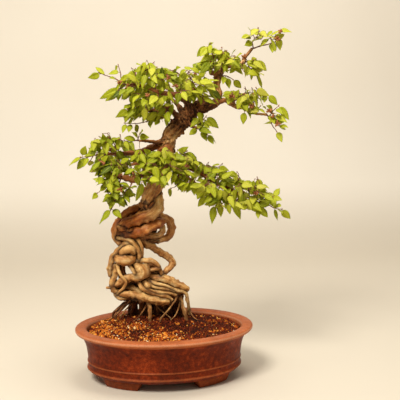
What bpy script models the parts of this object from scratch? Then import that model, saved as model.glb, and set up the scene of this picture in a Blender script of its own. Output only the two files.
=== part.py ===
"""Korean hornbeam bonsai: coiled bare roots, a leaning trunk and leafy sprays,
standing in granular soil in an oval clay pot with four feet.

The pot's long side runs along X and its front faces -Y. Lengths are in metres,
except in the routes below, which are hand-set in millimetres.
"""
import math
import random

import bmesh
import bpy
from mathutils import Matrix, Vector
from mathutils.bvhtree import BVHTree

MM = 0.001
GAP = 0.0003                 # clear space left between pieces that touch
SEED = 11

# Pot
POT_HALF_LENGTH = 0.178
POT_HALF_WIDTH = 0.1285
POT_SEGMENTS = 36
FLOOR_TOP = 0.027
DRAIN_SPREAD = 0.062         # drain holes, left and right of the middle
DRAIN_RADIUS = 0.008
# Each ring of the pot: half length and height, up the outside, over the rim, down the inside
POT_PROFILE = (
    (0.148, 0.018), (0.155, 0.0205), (0.1565, 0.026), (0.152, 0.031), (0.152, 0.040),
    (0.157, 0.044), (0.153, 0.049), (0.156, 0.075), (0.161, 0.088), (0.172, 0.0945),
    (0.1775, 0.097), (0.178, 0.103), (0.175, 0.106), (0.157, 0.106), (0.155, 0.1035),
    (0.150, 0.075), (0.143, 0.038), (0.134, FLOOR_TOP),
)
POT_INNER_RINGS = 4          # the last rings of the profile line the inside

# Feet, as stretches of the oval between two angles
FOOT_HEIGHT = 0.021
FOOT_INNER = 0.118
FOOT_OUTER_BOTTOM = 0.138
FOOT_OUTER_TOP = 0.144
FOOT_START = math.radians(31)
FOOT_END = math.radians(64)
FOOT_FLARE = math.radians(4)
FOOT_STEPS = 4

# Mesh squares over the drain holes
SCREEN_SIDE = 0.030
SCREEN_CELLS = 5
SCREEN_THICKNESS = 0.0012

# Soil
SOIL_EDGE = 0.0955
SOIL_LEVEL = 0.0985
MOUND_HEIGHT = 0.012
MOUND_SPREAD = 0.055
MOUND_CENTRE = (-0.021, 0.040)
SOIL_RINGS = (1.0, 0.90, 0.66, 0.36)
ROOT_END = 0.088             # how deep the roots reach into the soil
HOLE_SIDES = 8

# Where the eye stands that the routes below are set from, in front of the pot
EYE_DISTANCE = 1392.0
EYE_HEIGHT = 521.0
POT_TURN = math.radians(5.2)

# Leaves
LEAF_LENGTH = 0.024
LEAF_WIDTH = 0.56            # of its length
LEAF_THICKNESS = 0.0019      # at the rib
LEAF_CLEARANCE = 0.00035
# One edge of the blade: how far along it, and how wide of its half width
LEAF_EDGE = ((0.12, 0.76), (0.42, 1.0), (0.48, 0.78))
LEAF_RIB = 0.42              # where the rib is highest
LEAF_FOLD = 0.08             # how far the edges rise above the rib, of the length
LEAF_BEND = 0.12             # how far the tip bends down, of the length
# Turns about the blade's face and tilts up or down, in degrees, tried in this order
LEAF_BENDS = ((0, 0), (18, 0), (-18, 0), (0, 18), (0, -18), (32, 12), (-32, 12),
              (0, 34), (0, -34), (46, 0), (-46, 0))
BACK_DEPTH = 50.0            # stems farther back than this face the other way, in mm

# Trunk, roots and branches
WOOD_CELL = 0.0013           # size of the squares that its first skin is made of
WOOD_TRIANGLES = 4450

# Leafy stems, in mm
STEM_RADII = (1.6, 1.0)      # at the root and at the tip
STEM_SIDES = 4
STEM_STEP = 20.0
STEM_MARGIN = 0.002          # in metres, the least first piece of a stem
STEM_SHIFTS = (0, -5, 5, -10, 10, -16, 16)
STALK_RADIUS = 0.0007        # in metres
STALK_ANGLES = (math.radians(-30), math.radians(90), math.radians(210))
STALK_LEAST = 3.0            # the shortest stalk
STALK_TURN = 0.4             # a blade that turns back more than this stands on a short stalk

SHARP_ANGLE = math.radians(35)
WELDS = (0.000002, 0.00001, 0.00002)    # tried in this order where a union leaves a sliver

# Each limb is a route of points: across, height, depth behind the pot's middle, radius.
# Across and height are where the eye sees the point against the pot's middle plane.
TRUNK = (
    ((-38, 338, 20, 8), (-35, 348, 20, 13), (-28, 365, 20, 15), (-16, 385, 20, 15.5),
     (-6, 405, 20, 15), (2, 430, 20, 14.5), (7, 455, 20, 13.5), (8, 470, 20, 13.5),
     (13, 485, 20, 15), (27, 501, 20, 16), (40, 515, 20, 16), (52, 528, 20, 15),
     (64, 536, 19, 13), (78, 537, 18, 11), (91, 541, 16, 9), (100, 546, 15, 8), (109, 553, 14, 7)),
)
UPPER_ROOTS = (
    ((-12, 380, 26, 8), (-8, 362, 22, 10), (-11, 345, 17, 13), (-20, 333, 12, 14),
     (-36, 325, 9, 13), (-55, 318, 9, 12), (-70, 313, 12, 11), (-82, 306, 20, 10),
     (-90, 296, 32, 8), (-92, 284, 40, 7)),
    ((-42, 344, 30, 8), (-60, 338, 30, 8.5), (-75, 329, 30, 8.5), (-87, 314, 28, 8.5),
     (-94, 300, 24, 8), (-97, 285, 22, 6.5), (-92, 271, 18, 5)),
    ((-3, 314, 28, 7), (-11, 311, 22, 10), (-27, 304, 15, 11), (-44, 297, 12, 12),
     (-62, 292, 12, 12), (-78, 291, 16, 11), (-90, 290, 24, 8)),
    ((-20, 303, 32, 5), (-8, 304, 32, 5.5), (-4, 296, 32, 6), (-10, 288, 32, 6),
     (-28, 286, 28, 6), (-46, 283, 24, 6)),
    ((-18, 330, 38, 7), (-4, 323, 48, 7.5), (7, 317, 54, 7.5), (13, 307, 58, 7.5),
     (13.5, 295, 58, 7.5), (8, 284, 56, 7.5), (-3, 279, 52, 7), (-19, 277, 46, 7.5),
     (-36, 278, 40, 8), (-54, 284, 34, 9)),
    ((-52, 284, 34, 8), (-42, 275, 36, 8), (-29, 266, 40, 7.5), (-14, 256, 46, 7), (0, 247, 52, 7),
     (10, 240, 56, 7), (15, 232, 57, 7), (12, 223, 54, 6.5), (5, 216, 50, 6),
     (-2, 209, 42, 5.5), (-12, 203, 36, 5)),
    ((-50, 305, 44, 10), (-58, 285, 46, 10), (-62, 262, 50, 9), (-58, 238, 52, 8),
     (-52, 212, 52, 8), (-48, 185, 50, 8), (-46, 158, 46, 9)),
)
MIDDLE_ROOTS = (
    ((-107, 206, 22, 4.5), (-107, 218, 20, 6.5), (-105, 233, 18, 6), (-98, 248, 15, 5.5),
     (-86, 262, 12, 5.5), (-73, 270, 10, 5.5), (-62, 270, 10, 5.5), (-54, 262, 12, 5),
     (-50, 250, 14, 4.5), (-54, 236, 18, 5)),
    ((-91, 282, 16, 5), (-79, 281, 10, 5), (-66, 275, 7, 5), (-56, 263, 6, 4.5),
     (-50, 249, 9, 4.5), (-50, 237, 13, 4.5)),
    ((-58, 282, 14, 4), (-50, 275, 11, 3.6), (-45, 263, 11, 3.4), (-44, 250, 14, 3.4),
     (-46, 238, 16, 3.4)),
    ((-90, 251, 12, 5), (-80, 256, 7, 8.5), (-69, 258, 7, 9), (-59, 253, 12, 5)),
    ((-98, 238, 18, 6), (-87, 239, 11, 11), (-74, 238, 11, 11), (-62, 233, 16, 7)),
    ((-100, 228, 20, 6), (-98, 210, 20, 6), (-104, 193, 20, 6), (-101, 179, 20, 6.5),
     (-92, 168, 18, 6)),
    ((-102, 186, 20, 5), (-111, 181, 18, 2.5)),
    ((-93, 228, 12, 3.2), (-90, 213, 8, 3), (-84, 203, 6, 2.8), (-77, 193, 6, 2.8),
     (-81, 182, 8, 2.8), (-90, 173, 10, 2.8), (-96, 165, 14, 2.8)),
    ((-66, 240, 22, 6), (-60, 231, 19, 8), (-51, 222, 15, 11), (-44, 213, 12, 13.5),
     (-53, 204, 14, 10.5), (-66, 202, 16, 8.5), (-79, 198, 18, 8), (-91, 190, 20, 7),
     (-101, 183, 22, 6)),
    ((-66, 234, 18, 5), (-50, 236, 13, 5.5), (-34, 236, 12, 5.5), (-21, 233, 13, 5.5),
     (-13, 226, 14, 4), (-8, 217, 18, 3.5), (-6, 206, 24, 3.5)),
    ((-36, 215, 14, 4), (-21, 218, 14, 4), (-9, 221, 15, 3.5)),
)
LOWER_ROOTS = (
    ((-38, 196, 34, 6), (-27, 201, 28, 7.5), (-12, 201, 26, 8), (5, 197, 24, 8),
     (20, 190, 24, 7.5), (35, 182, 25, 7), (45, 177, 27, 6)),
    ((-30, 195, 20, 4), (-18, 189, 16, 4), (-6, 186, 15, 3.8), (8, 181, 16, 3.8),
     (22, 175, 18, 3.8), (37, 171, 21, 3.8), (44, 164, 24, 3.6), (46, 153, 28, 3.5),
     (48, 140, 33, 3.5), (49, 126, 38, 3.5)),
    ((-52, 196, 18, 4), (-44, 181, 12, 4.5), (-30, 171, 10, 4.5), (-12, 165, 10, 4.5),
     (5, 162, 12, 4.3), (13, 155, 18, 4)),
    ((-42, 192, 16, 3.4), (-33, 178, 10, 3.4), (-15, 171, 10, 3.6), (6, 170, 12, 3.4),
     (22, 165, 18, 3.2)),
    ((-33, 197, 20, 3.2), (-27, 185, 13, 3.2), (-15, 180, 12, 3.2), (5, 177, 14, 3.2),
     (20, 172, 18, 2.8)),
    ((-39, 192, 16, 4.5), (-35, 185, 12, 6.5), (-31, 178, 14, 4)),
    ((-97, 172, 26, 5), (-88, 166, 15, 7), (-73, 167, 10, 7.5), (-57, 165, 8, 7.5),
     (-40, 160, 8, 8), (-22, 157, 9, 8.5), (-6, 154, 11, 8), (6, 152, 14, 6.5)),
    ((-99, 176, 26, 4), (-97, 166, 16, 4), (-88, 159, 12, 4), (-78, 161, 14, 4)),
    ((-92, 190, 34, 6), (-72, 184, 32, 6), (-50, 173, 28, 6), (-34, 162, 30, 6)),
    ((-88, 166, 34, 7), (-62, 160, 42, 11), (-32, 158, 46, 12), (-2, 162, 44, 10.5),
     (22, 168, 36, 8), (36, 172, 28, 5)),
)
# Roots that go down into the soil: the last point is carried straight on to ROOT_END
SOIL_ROOTS = (
    ((-66, 156, 36, 5), (-77, 147, 38, 4.2), (-89, 135, 38, 3.6), (-98, 126, 36, 3.2)),
    ((-64, 157, 50, 5), (-80, 148, 54, 4), (-93, 138, 52, 3), (-103, 130, 48, 2.6)),
    ((-58, 155, 34, 5.5), (-62, 142, 44, 5), (-66, 131, 54, 4.5)),
    ((-45, 153, 34, 6), (-46, 141, 40, 5.5), (-48, 130, 46, 5)),
    ((-32, 154, 14, 4), (-29, 137, 12, 4), (-30, 118, 10, 3.6)),
    ((26, 171, 22, 1.9), (22, 156, 18, 1.7), (14, 143, 14, 1.6), (1, 127, 10, 1.6), (-9, 117, 6, 1.6)),
    ((28, 168, 34, 4.2), (32, 153, 33, 4), (37, 138, 31, 3.7), (42, 121, 29, 3.6)),
    ((8, 162, 44, 6.5), (9, 147, 50, 6), (10, 134, 56, 5)),
    ((-14, 156, 40, 7), (-15, 141, 46, 6.5), (-16, 130, 50, 5.5)),
    ((22, 168, 40, 5), (25, 150, 50, 4.5), (27, 136, 58, 4)),
    ((-60, 160, 50, 6), (-66, 148, 66, 5), (-70, 140, 80, 4.5)),
    ((-28, 158, 54, 7), (-26, 147, 68, 6), (-24, 138, 82, 5)),
)
BRANCHES = (
    ((104, 549, 14, 7), (107, 565, 14, 6.5), (103, 580, 14, 6), (105, 592, 14, 7), (106, 600, 14, 9),
     (111, 608, 14, 5.5), (124, 616, 14, 4), (143, 616, 12, 3.7), (153, 622, 12, 4.5),
     (159, 633, 12, 3), (172, 650, 12, 2.6)),
    ((106, 600, 14, 8), (97, 603, 12, 5), (89, 604, 10, 3.5)),
    ((98, 546, 15, 6), (119, 551, 12, 5.2), (132, 544, 8, 4.6), (145, 537, 4, 4.2),
     (158, 536, 2, 4), (168, 529, 0, 3.4), (181, 524, -2, 2.6), (201, 523, -4, 2.4)),
    ((-4, 466, 24, 9), (-20, 460, 28, 7), (-38, 454, 34, 6), (-62, 449, 42, 5), (-86, 447, 46, 4),
     (-110, 447, 46, 3)),
    ((4, 472, 18, 7), (-14, 470, 12, 4.5), (-30, 472, 8, 3.2), (-48, 473, 6, 2.6)),
    ((-10, 450, 10, 5), (-2, 456, 4, 5.5), (8, 456, 2, 5.5), (16, 449, 6, 5.5)),
    ((2, 440, 12, 9), (4, 430, -10, 8), (3, 421, -28, 8), (6, 419, -42, 7.5), (14, 419, -50, 5.5)),
    ((2, 426, -14, 5), (-14, 415, -26, 4.5), (-28, 409, -34, 4), (-38, 408, -38, 4.5)),
    ((10, 424, -30, 4), (22, 415, -36, 3.4), (42, 402, -38, 3), (60, 392, -38, 2.6)),
    ((8, 436, 20, 8), (26, 430, 18, 6), (46, 422, 14, 5), (70, 409, 10, 4.6), (96, 394, 6, 4.2),
     (122, 380, 3, 3.7), (150, 367, 0, 3.3), (180, 357, -2, 2.7)),
    ((-4, 436, 14, 8), (-22, 425, 2, 6), (-42, 408, -8, 5.5), (-58, 396, -15, 5.5),
     (-70, 399, -20, 5.5), (-84, 402, -24, 4.2), (-96, 402, -26, 3.2), (-105, 398, -28, 2.8)),
    ((50, 530, 14, 8), (45, 548, 4, 7.5), (37, 556, -2, 6.5), (25, 561, -8, 6), (12, 562, -12, 5),
     (-10, 567, -11, 4), (-32, 576, -9, 3.4), (-50, 581, -9, 3.2), (-64, 580, -10, 2.8)),
    ((30, 516, 14, 7), (20, 528, 6, 4.6), (11, 534, 0, 4.4), (-3, 533, -4, 4), (-22, 531, -7, 3.6),
     (-42, 532, -9, 3)),
    ((72, 538, 26, 6), (70, 556, 34, 4.6), (58, 572, 40, 3.6), (44, 586, 42, 2.8)),
    ((74, 542, 10, 6), (72, 558, -6, 4.4), (66, 568, -18, 3.4), (56, 580, -26, 2.6)),
    ((44, 510, 14, 7), (56, 501, 6, 4), (66, 497, 2, 2.8)),
    ((0, 442, 30, 8), (-16, 436, 54, 5), (-44, 430, 74, 3.6), (-68, 426, 88, 2.6)),
    ((8, 446, 30, 8), (28, 438, 54, 4.8), (52, 426, 70, 3.6), (78, 412, 82, 2.6)),
    ((40, 520, 32, 7), (28, 540, 54, 4.4), (12, 556, 70, 3.2), (-6, 566, 82, 2.5)),
    ((104, 590, 18, 6), (112, 604, 36, 4), (116, 614, 52, 3), (112, 622, 64, 2.4)),
)

# Each spray: its stems, the first one springing from a limb and the others from an earlier
# stem, and its leaves, each from where its root is seen to where its tip is seen.
SPRAYS = {
    "crown_tip": (
        (((172, 650, 12), (190, 655, 12), (205, 659, 11), (218, 665, 10), (224, 681, 8)),
         ((173, 652, 12), (172, 662, 8), (176, 670, 4), (170, 680, 2))),
        ((226, 685, 249, 681), (223, 671, 228, 647), (211, 663, 209, 645), (207, 675, 224, 684),
         (210, 679, 197, 681), (206, 671, 192, 662), (174, 677, 187, 686)),
    ),
    "crown_right": (
        (((156, 626, 12), (166, 624, 4), (178, 629, -2)),
         ((163, 625, 6), (166, 614, 2), (178, 606, -2))),
        ((178, 631, 201, 608), (170, 623, 188, 606), (178, 606, 198, 576), (170, 611, 173, 589)),
    ),
    "crown_left": (
        (((106, 606, 8), (97, 614, 2), (97, 629, -2), (93, 641, -4), (86, 651, -6)),
         ((97, 612, 3), (84, 608, -4), (70, 602, -8))),
        ((82, 653, 63, 635), (88, 652, 94, 663), (92, 648, 109, 645), (87, 644, 78, 627),
         (94, 636, 66, 614)),
    ),
    "crown_front": (
        (((112, 608, 10), (113, 622, -4), (114, 634, -12), (110, 645, -16)),
         ((113, 618, 0), (120, 620, -10), (125, 628, -16))),
        ((110, 647, 131, 629), (113, 634, 96, 641), (112, 624, 124, 602), (110, 618, 94, 606)),
    ),
    "crown_middle": (
        (((134, 616, 13), (132, 624, 2), (138, 632, -6)),
         ((134, 620, 8), (144, 618, 0))),
        ((134, 622, 157, 603), (141, 617, 127, 603), (138, 632, 152, 642), (134, 630, 120, 640)),
    ),
    "crown_under": (
        (((111, 597, 12), (122, 597, 6), (134, 591, 2)),),
        ((134, 590, 151, 574), (124, 595, 126, 573), (120, 596, 114, 584)),
    ),
    "crown_back": (
        (((112, 622, 64), (104, 630, 78), (94, 636, 88)),
         ((112, 624, 66), (124, 632, 76), (136, 636, 82))),
        ((94, 636, 76, 632), (98, 633, 100, 650), (136, 636, 150, 624), (126, 632, 120, 648)),
    ),
    "right_upper": (
        (((138, 541, 6), (137, 552, 0), (133, 562, -4)),
         ((137, 549, 2), (146, 556, -4), (158, 566, -8))),
        ((133, 563, 112, 561), (135, 560, 131, 544), (158, 567, 142, 552), (152, 560, 163, 540)),
    ),
    "right_middle": (
        (((172, 528, 0), (175, 540, -4), (177, 551, -7), (186, 560, -9), (200, 561, -10)),
         ((173, 533, -2), (182, 534, -8), (188, 539, -12))),
        ((205, 560, 223, 541), (198, 564, 194, 552), (179, 567, 163, 542), (186, 561, 199, 571),
         (188, 540, 167, 525)),
    ),
    "right_under": (
        (((163, 533, 2), (160, 531, -8), (158, 530, -14)),),
        ((157, 530, 152, 504), (160, 532, 148, 540), (161, 531, 172, 518)),
    ),
    "right_tip": (
        (((201, 523, -4), (209, 514, -5), (212, 503, -6), (221, 491, -6)),
         ((208, 516, -5), (215, 508, -9), (224, 502, -12)),
         ((206, 519, -4), (213, 530, -7), (224, 540, -8))),
        ((224, 541, 248, 514), (218, 535, 234, 526), (213, 511, 236, 509), (223, 490, 235, 470),
         (224, 502, 243, 501), (226, 500, 241, 492)),
    ),
    "trunk_right": (
        (((66, 497, 2), (72, 508, -2), (82, 519, -4)),
         ((70, 505, -1), (75, 494, -4), (85, 485, -6))),
        ((83, 520, 110, 498), (72, 509, 57, 517), (75, 510, 89, 498), (74, 490, 84, 473),
         (85, 485, 97, 466)),
    ),
    "upper_left_tip": (
        (((-64, 580, -10), (-80, 583, -12), (-92, 592, -12), (-108, 597, -12), (-122, 602, -12)),
         ((-80, 583, -12), (-82, 600, -12), (-86, 616, -12))),
        ((-110, 600, -129, 616), (-120, 600, -144, 590), (-84, 604, -107, 602), (-90, 592, -103, 596),
         (-85, 618, -95, 608)),
    ),
    "upper_left_low": (
        (((-58, 579, -11), (-70, 573, -15), (-84, 569, -18)),
         ((-63, 577, -12), (-64, 569, -20), (-62, 563, -26))),
        ((-86, 573, -124, 552), (-86, 569, -114, 550), (-84, 568, -88, 549), (-67, 570, -81, 552),
         (-62, 563, -60, 537)),
    ),
    "upper_left_top": (
        (((-46, 581, -9), (-42, 596, -8), (-34, 609, -8), (-38, 616, -10)),
         ((-44, 588, -9), (-54, 593, -14), (-60, 596, -18)),
         ((-36, 606, -8), (-26, 612, -12), (-14, 614, -14))),
        ((-36, 613, -56, 606), (-33, 616, -13, 612), (-14, 614, 5, 590), (-30, 607, -3, 593),
         (-58, 596, -78, 597)),
    ),
    "upper_middle": (
        (((-16, 569, -11), (-14, 580, -18), (-2, 590, -22), (10, 594, -24)),),
        ((-15, 588, -41, 571), (0, 586, -6, 560), (8, 594, 22, 584), (-3, 590, -20, 602)),
    ),
    "upper_front": (
        (((56, 580, -26), (46, 590, -30), (34, 597, -34), (22, 600, -36)),
         ((50, 586, -28), (64, 584, -32), (74, 585, -34), (84, 590, -36))),
        ((45, 592, 69, 573), (84, 590, 108, 588), (78, 582, 109, 545), (36, 596, 20, 583)),
    ),
    "upper_face": (
        (((70, 560, -8), (64, 563, -22), (60, 566, -32)),),
        ((60, 565, 57, 546), (66, 563, 76, 543), (60, 566, 44, 558), (64, 565, 80, 560)),
    ),
    "upper_top": (
        (((44, 586, 42), (32, 600, 34), (14, 608, 28)),
         ((38, 594, 38), (50, 606, 34), (64, 612, 32))),
        ((14, 608, -4, 611), (22, 606, 30, 617), (28, 603, 12, 596), (64, 612, 82, 604)),
    ),
    "upper_back": (
        (((-6, 566, 82), (-22, 572, 92), (-40, 574, 98)),
         ((-12, 568, 86), (-8, 582, 94), (6, 592, 98))),
        ((-40, 574, -60, 566), (-30, 573, -36, 590), (6, 592, 24, 586), (-4, 586, -18, 594)),
    ),
    "lower_left": (
        (((-42, 532, -9), (-56, 534, -12), (-68, 534, -16)),
         ((-54, 534, -12), (-44, 542, -18), (-32, 547, -22))),
        ((-68, 533, -92, 514), (-66, 531, -77, 507), (-40, 548, -60, 538), (-33, 545, -50, 522)),
    ),
    "lower_left_twig": (
        (((26, 509, 10), (4, 517, 4), (-18, 517, 2), (-36, 509, 2), (-52, 506, 2), (-74, 507, 0)),),
        ((-73, 508, -80, 488), (-64, 506, -68, 490), (-55, 506, -50, 488), (-24, 515, -28, 498)),
    ),
    "lower_middle": (
        (((2, 533, -4), (5, 540, -14), (-4, 548, -20), (-14, 553, -24)),
         ((4, 538, -12), (10, 531, -18), (9, 524, -22))),
        ((9, 524, 3, 500), (-14, 553, -32, 556), (-2, 547, 10, 560), (-6, 549, -18, 534)),
    ),
    "left_top": (
        (((-48, 473, 6), (-62, 473, 3), (-76, 472, 0), (-86, 476, -2)),
         ((-50, 473, 5), (-49, 481, 2), (-46, 486, 0))),
        ((-56, 477, -77, 477), (-46, 486, -40, 494), (-47, 481, -29, 478), (-86, 475, -73, 455),
         (-70, 472, -56, 454)),
    ),
    "left_ridge": (
        (((-86, 447, 42), (-92, 460, 34), (-100, 472, 26), (-106, 479, 22)),
         ((-98, 469, 28), (-112, 470, 22), (-124, 472, 18))),
        ((-104, 478, -80, 471), (-106, 479, -130, 458), (-124, 472, -147, 452), (-114, 471, -116, 486),
         (-94, 463, -104, 448)),
    ),
    "left_tip": (
        (((-110, 447, 46), (-128, 446, 42), (-145, 442, 38), (-160, 441, 34)),
         ((-137, 444, 40), (-143, 434, 32))),
        ((-156, 443, -151, 462), (-160, 442, -188, 429), (-158, 441, -172, 431),
         (-150, 441, -169, 414), (-143, 433, -145, 416)),
    ),
    "left_front": (
        (((-99, 402, -26), (-106, 413, -22), (-116, 424, -18), (-125, 435, -14)),
         ((-108, 415, -21), (-96, 424, -20), (-86, 428, -22))),
        ((-125, 437, -135, 413), (-122, 430, -110, 442), (-120, 425, -146, 412),
         (-114, 420, -136, 405), (-106, 414, -120, 404)),
    ),
    "left_under": (
        (((-105, 398, -28), (-114, 402, -31), (-118, 400, -34)),
         ((-108, 399, -29), (-112, 391, -31), (-120, 379, -32), (-130, 371, -33))),
        ((-116, 403, -134, 396), (-114, 390, -125, 374), (-129, 371, -141, 359),
         (-118, 400, -126, 388)),
    ),
    "left_hanging": (
        (((-84, 402, -28), (-88, 386, -30), (-91, 373, -30), (-96, 358, -30), (-100, 345, -30),
          (-110, 328, -30)),
         ((-91, 374, -30), (-102, 367, -32))),
        ((-84, 396, -102, 378), (-90, 363, -76, 343), (-101, 366, -116, 363), (-102, 365, -120, 352),
         (-98, 357, -110, 340), (-104, 339, -130, 311)),
    ),
    "left_inner": (
        (((-62, 393, -19), (-66, 383, -22), (-76, 373, -24), (-79, 364, -24)),),
        ((-65, 382, -72, 357), (-78, 366, -86, 352), (-68, 380, -54, 386)),
    ),
    "front_left": (
        (((-38, 408, -42), (-42, 400, -48), (-43, 393, -54)),
         ((-40, 404, -45), (-52, 410, -52), (-62, 416, -56))),
        ((-43, 392, -50, 352), (-42, 397, -30, 384), (-62, 416, -76, 408), (-56, 413, -50, 428)),
    ),
    "front_top": (
        (((-12, 431, 5), (-20, 440, -16), (-34, 446, -26), (-48, 448, -32)),
         ((-16, 436, -11), (-6, 444, -24), (6, 448, -32))),
        ((-50, 448, -70, 434), (-30, 446, -58, 436), (-24, 444, -36, 458), (6, 448, 26, 444)),
    ),
    "front_low": (
        (((3, 413, -38), (0, 409, -54), (-2, 406, -64)),),
        ((-4, 408, -26, 390), (2, 407, 0, 378), (-2, 406, -14, 382), (2, 408, 15, 395)),
    ),
    "front_face": (
        (((14, 419, -50), (15, 427, -60), (18, 434, -66)),),
        ((18, 434, 34, 440), (15, 430, 0, 438), (16, 427, 30, 416)),
    ),
    "front_right": (
        (((60, 392, -38), (68, 386, -40), (78, 382, -42)),
         ((64, 389, -39), (56, 396, -48), (46, 402, -54))),
        ((56, 392, 58, 364), (78, 382, 64, 357), (48, 401, 34, 388), (70, 386, 84, 396)),
    ),
    "front_under": (
        (((28, 410, -40), (28, 396, -42), (24, 384, -42), (15, 380, -42)),),
        ((28, 400, 35, 370), (14, 380, 6, 362), (24, 384, 34, 396)),
    ),
    "right_shoulder": (
        (((26, 435, 16), (32, 444, 6), (44, 452, 0)),
         ((36, 447, 4), (47, 441, -6), (57, 434, -12))),
        ((34, 446, 66, 440), (46, 451, 70, 430), (30, 450, 48, 460), (56, 433, 66, 420)),
    ),
    "low_right_top": (
        (((70, 413, 10), (76, 420, 16), (90, 422, 20), (106, 421, 22)),),
        ((82, 421, 69, 422), (106, 421, 128, 413), (92, 422, 110, 426), (88, 422, 80, 410)),
    ),
    "low_right_shoulder": (
        (((98, 397, 8), (104, 408, 4), (108, 416, 0)),),
        ((108, 416, 90, 408), (104, 408, 122, 402), (106, 412, 118, 420)),
    ),
    "low_right_ridge": (
        (((122, 384, 4), (126, 396, 0), (130, 407, -4)),),
        ((128, 410, 148, 402), (126, 403, 112, 412), (124, 396, 110, 402), (126, 398, 138, 392)),
    ),
    "low_right_slope": (
        (((150, 371, 0), (150, 382, -4), (146, 396, -8)),),
        ((148, 396, 162, 388), (150, 386, 166, 376), (150, 376, 164, 362), (146, 396, 136, 404)),
    ),
    "low_right_face": (
        (((88, 398, 7), (88, 388, -14), (88, 378, -26), (92, 368, -32)),
         ((88, 386, -17), (98, 382, -26), (106, 384, -30))),
        ((86, 387, 71, 365), (88, 368, 92, 340), (82, 362, 65, 343), (106, 384, 126, 376),
         (98, 380, 104, 362)),
    ),
    "low_right_front": (
        (((122, 377, 1), (117, 372, -14), (113, 362, -24), (112, 350, -28)),
         ((117, 370, -16), (126, 362, -22), (127, 350, -26))),
        ((112, 350, 109, 321), (114, 370, 130, 352), (126, 350, 128, 326), (113, 362, 100, 350)),
    ),
    "low_right_middle": (
        (((150, 363, -1), (145, 357, -12), (139, 351, -20)),),
        ((138, 350, 149, 315), (146, 358, 158, 340), (139, 352, 128, 364)),
    ),
    "low_right_lower": (
        (((168, 358, -3), (167, 352, -12), (164, 346, -18)),),
        ((166, 350, 172, 332), (170, 350, 184, 328), (163, 347, 150, 338)),
    ),
    "low_right_crest": (
        (((168, 364, 0), (167, 376, -5), (163, 385, -8)),),
        ((162, 386, 187, 388), (166, 378, 178, 368), (164, 384, 154, 394)),
    ),
    "low_right_peak": (
        (((178, 359, -2), (185, 370, -8), (190, 382, -12)),),
        ((190, 386, 208, 381), (188, 376, 178, 386), (190, 378, 203, 366)),
    ),
    "low_right_tip": (
        (((180, 357, -2), (198, 351, -4), (208, 345, -5), (218, 339, -7), (232, 337, -9)),
         ((200, 350, -4), (206, 358, -8), (216, 362, -12)),
         ((190, 354, -4), (187, 346, -10), (186, 338, -14))),
        ((232, 337, 251, 315), (217, 338, 227, 314), (217, 362, 231, 378), (214, 359, 232, 354),
         (184, 344, 204, 318), (186, 338, 187, 319)),
    ),
    "left_back": (
        (((-68, 426, 88), (-84, 430, 98), (-100, 428, 104)),
         ((-76, 428, 93), (-72, 416, 102), (-66, 408, 106)),
         ((-72, 427, 91), (-64, 438, 100))),
        ((-100, 428, -120, 420), (-90, 430, -96, 446), (-66, 408, -56, 394), (-74, 418, -90, 408)),
    ),
    "middle_back": (
        (((-30, 434, 66), (-22, 442, 84), (-18, 446, 100)),
         ((-24, 440, 78), (-8, 436, 92), (6, 430, 100))),
        ((-18, 446, -34, 440), (-18, 446, -2, 454), (6, 430, 20, 418), (-8, 436, -18, 422)),
    ),
    "right_back": (
        (((78, 412, 82), (94, 410, 92), (110, 402, 98)),
         ((86, 411, 87), (82, 400, 96), (76, 390, 100)),
         ((84, 411, 86), (80, 424, 96))),
        ((110, 402, 128, 390), (98, 408, 106, 422), (76, 390, 66, 374), (82, 402, 98, 392)),
    ),
}


def material(name, colour, roughness):
    """A plain Principled material."""
    made = bpy.data.materials.new(name)
    made.use_nodes = True
    shader = made.node_tree.nodes["Principled BSDF"]
    shader.inputs["Base Color"].default_value = (*colour, 1.0)
    shader.inputs["Roughness"].default_value = roughness
    made.diffuse_color = (*colour, 1.0)
    return made


def add_object(name, mesh, collection, made=None):
    """An object of a mesh, linked in a collection."""
    thing = bpy.data.objects.new(name, mesh)
    collection.objects.link(thing)
    if made:
        mesh.materials.append(made)
    return thing


def mesh_from(shape, name):
    """A mesh of a bmesh, with its faces pointing out."""
    bmesh.ops.recalc_face_normals(shape, faces=shape.faces)
    mesh = bpy.data.meshes.new(name)
    shape.to_mesh(mesh)
    shape.free()
    return mesh


def mark_as_cutter(thing):
    thing.hide_render = True
    thing.display_type = "WIRE"


def boolean(thing, operation, operand, solver="EXACT"):
    """A Boolean modifier against an object or a collection."""
    modifier = thing.modifiers.new(operation.title(), "BOOLEAN")
    modifier.operation = operation
    modifier.solver = solver
    if isinstance(operand, bpy.types.Collection):
        modifier.operand_type = "COLLECTION"
        modifier.collection = operand
    else:
        modifier.object = operand
    return modifier


def applied_mesh(thing, name):
    """The mesh that an object's modifiers, or a curve's bevel, make."""
    bpy.context.view_layer.update()
    graph = bpy.context.evaluated_depsgraph_get()
    mesh = bpy.data.meshes.new_from_object(thing.evaluated_get(graph))
    mesh.name = name
    return mesh


def fuse(name, pieces, collection, made):
    """One body of overlapping pieces, by a union on a collection that is then removed."""
    joined = bpy.data.collections.new(name + "_pieces")
    bpy.context.scene.collection.children.link(joined)
    body = add_object(name, pieces[0], collection)
    for number, piece in enumerate(pieces[1:]):
        add_object(f"{name}_piece_{number}", piece, joined)
    boolean(body, "UNION", joined, solver="MANIFOLD")
    mesh = applied_mesh(body, name)
    for piece in list(joined.objects):
        bpy.data.objects.remove(piece)
    bpy.data.collections.remove(joined)
    bpy.data.objects.remove(body)
    mesh.materials.clear()
    return add_object(name, mesh, collection, made)


def oval_point(half_length, angle):
    """A point of the pot's oval, whose width stays a fixed amount under its length."""
    half_width = half_length - (POT_HALF_LENGTH - POT_HALF_WIDTH)
    return half_length * math.cos(angle), half_width * math.sin(angle)


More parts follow.
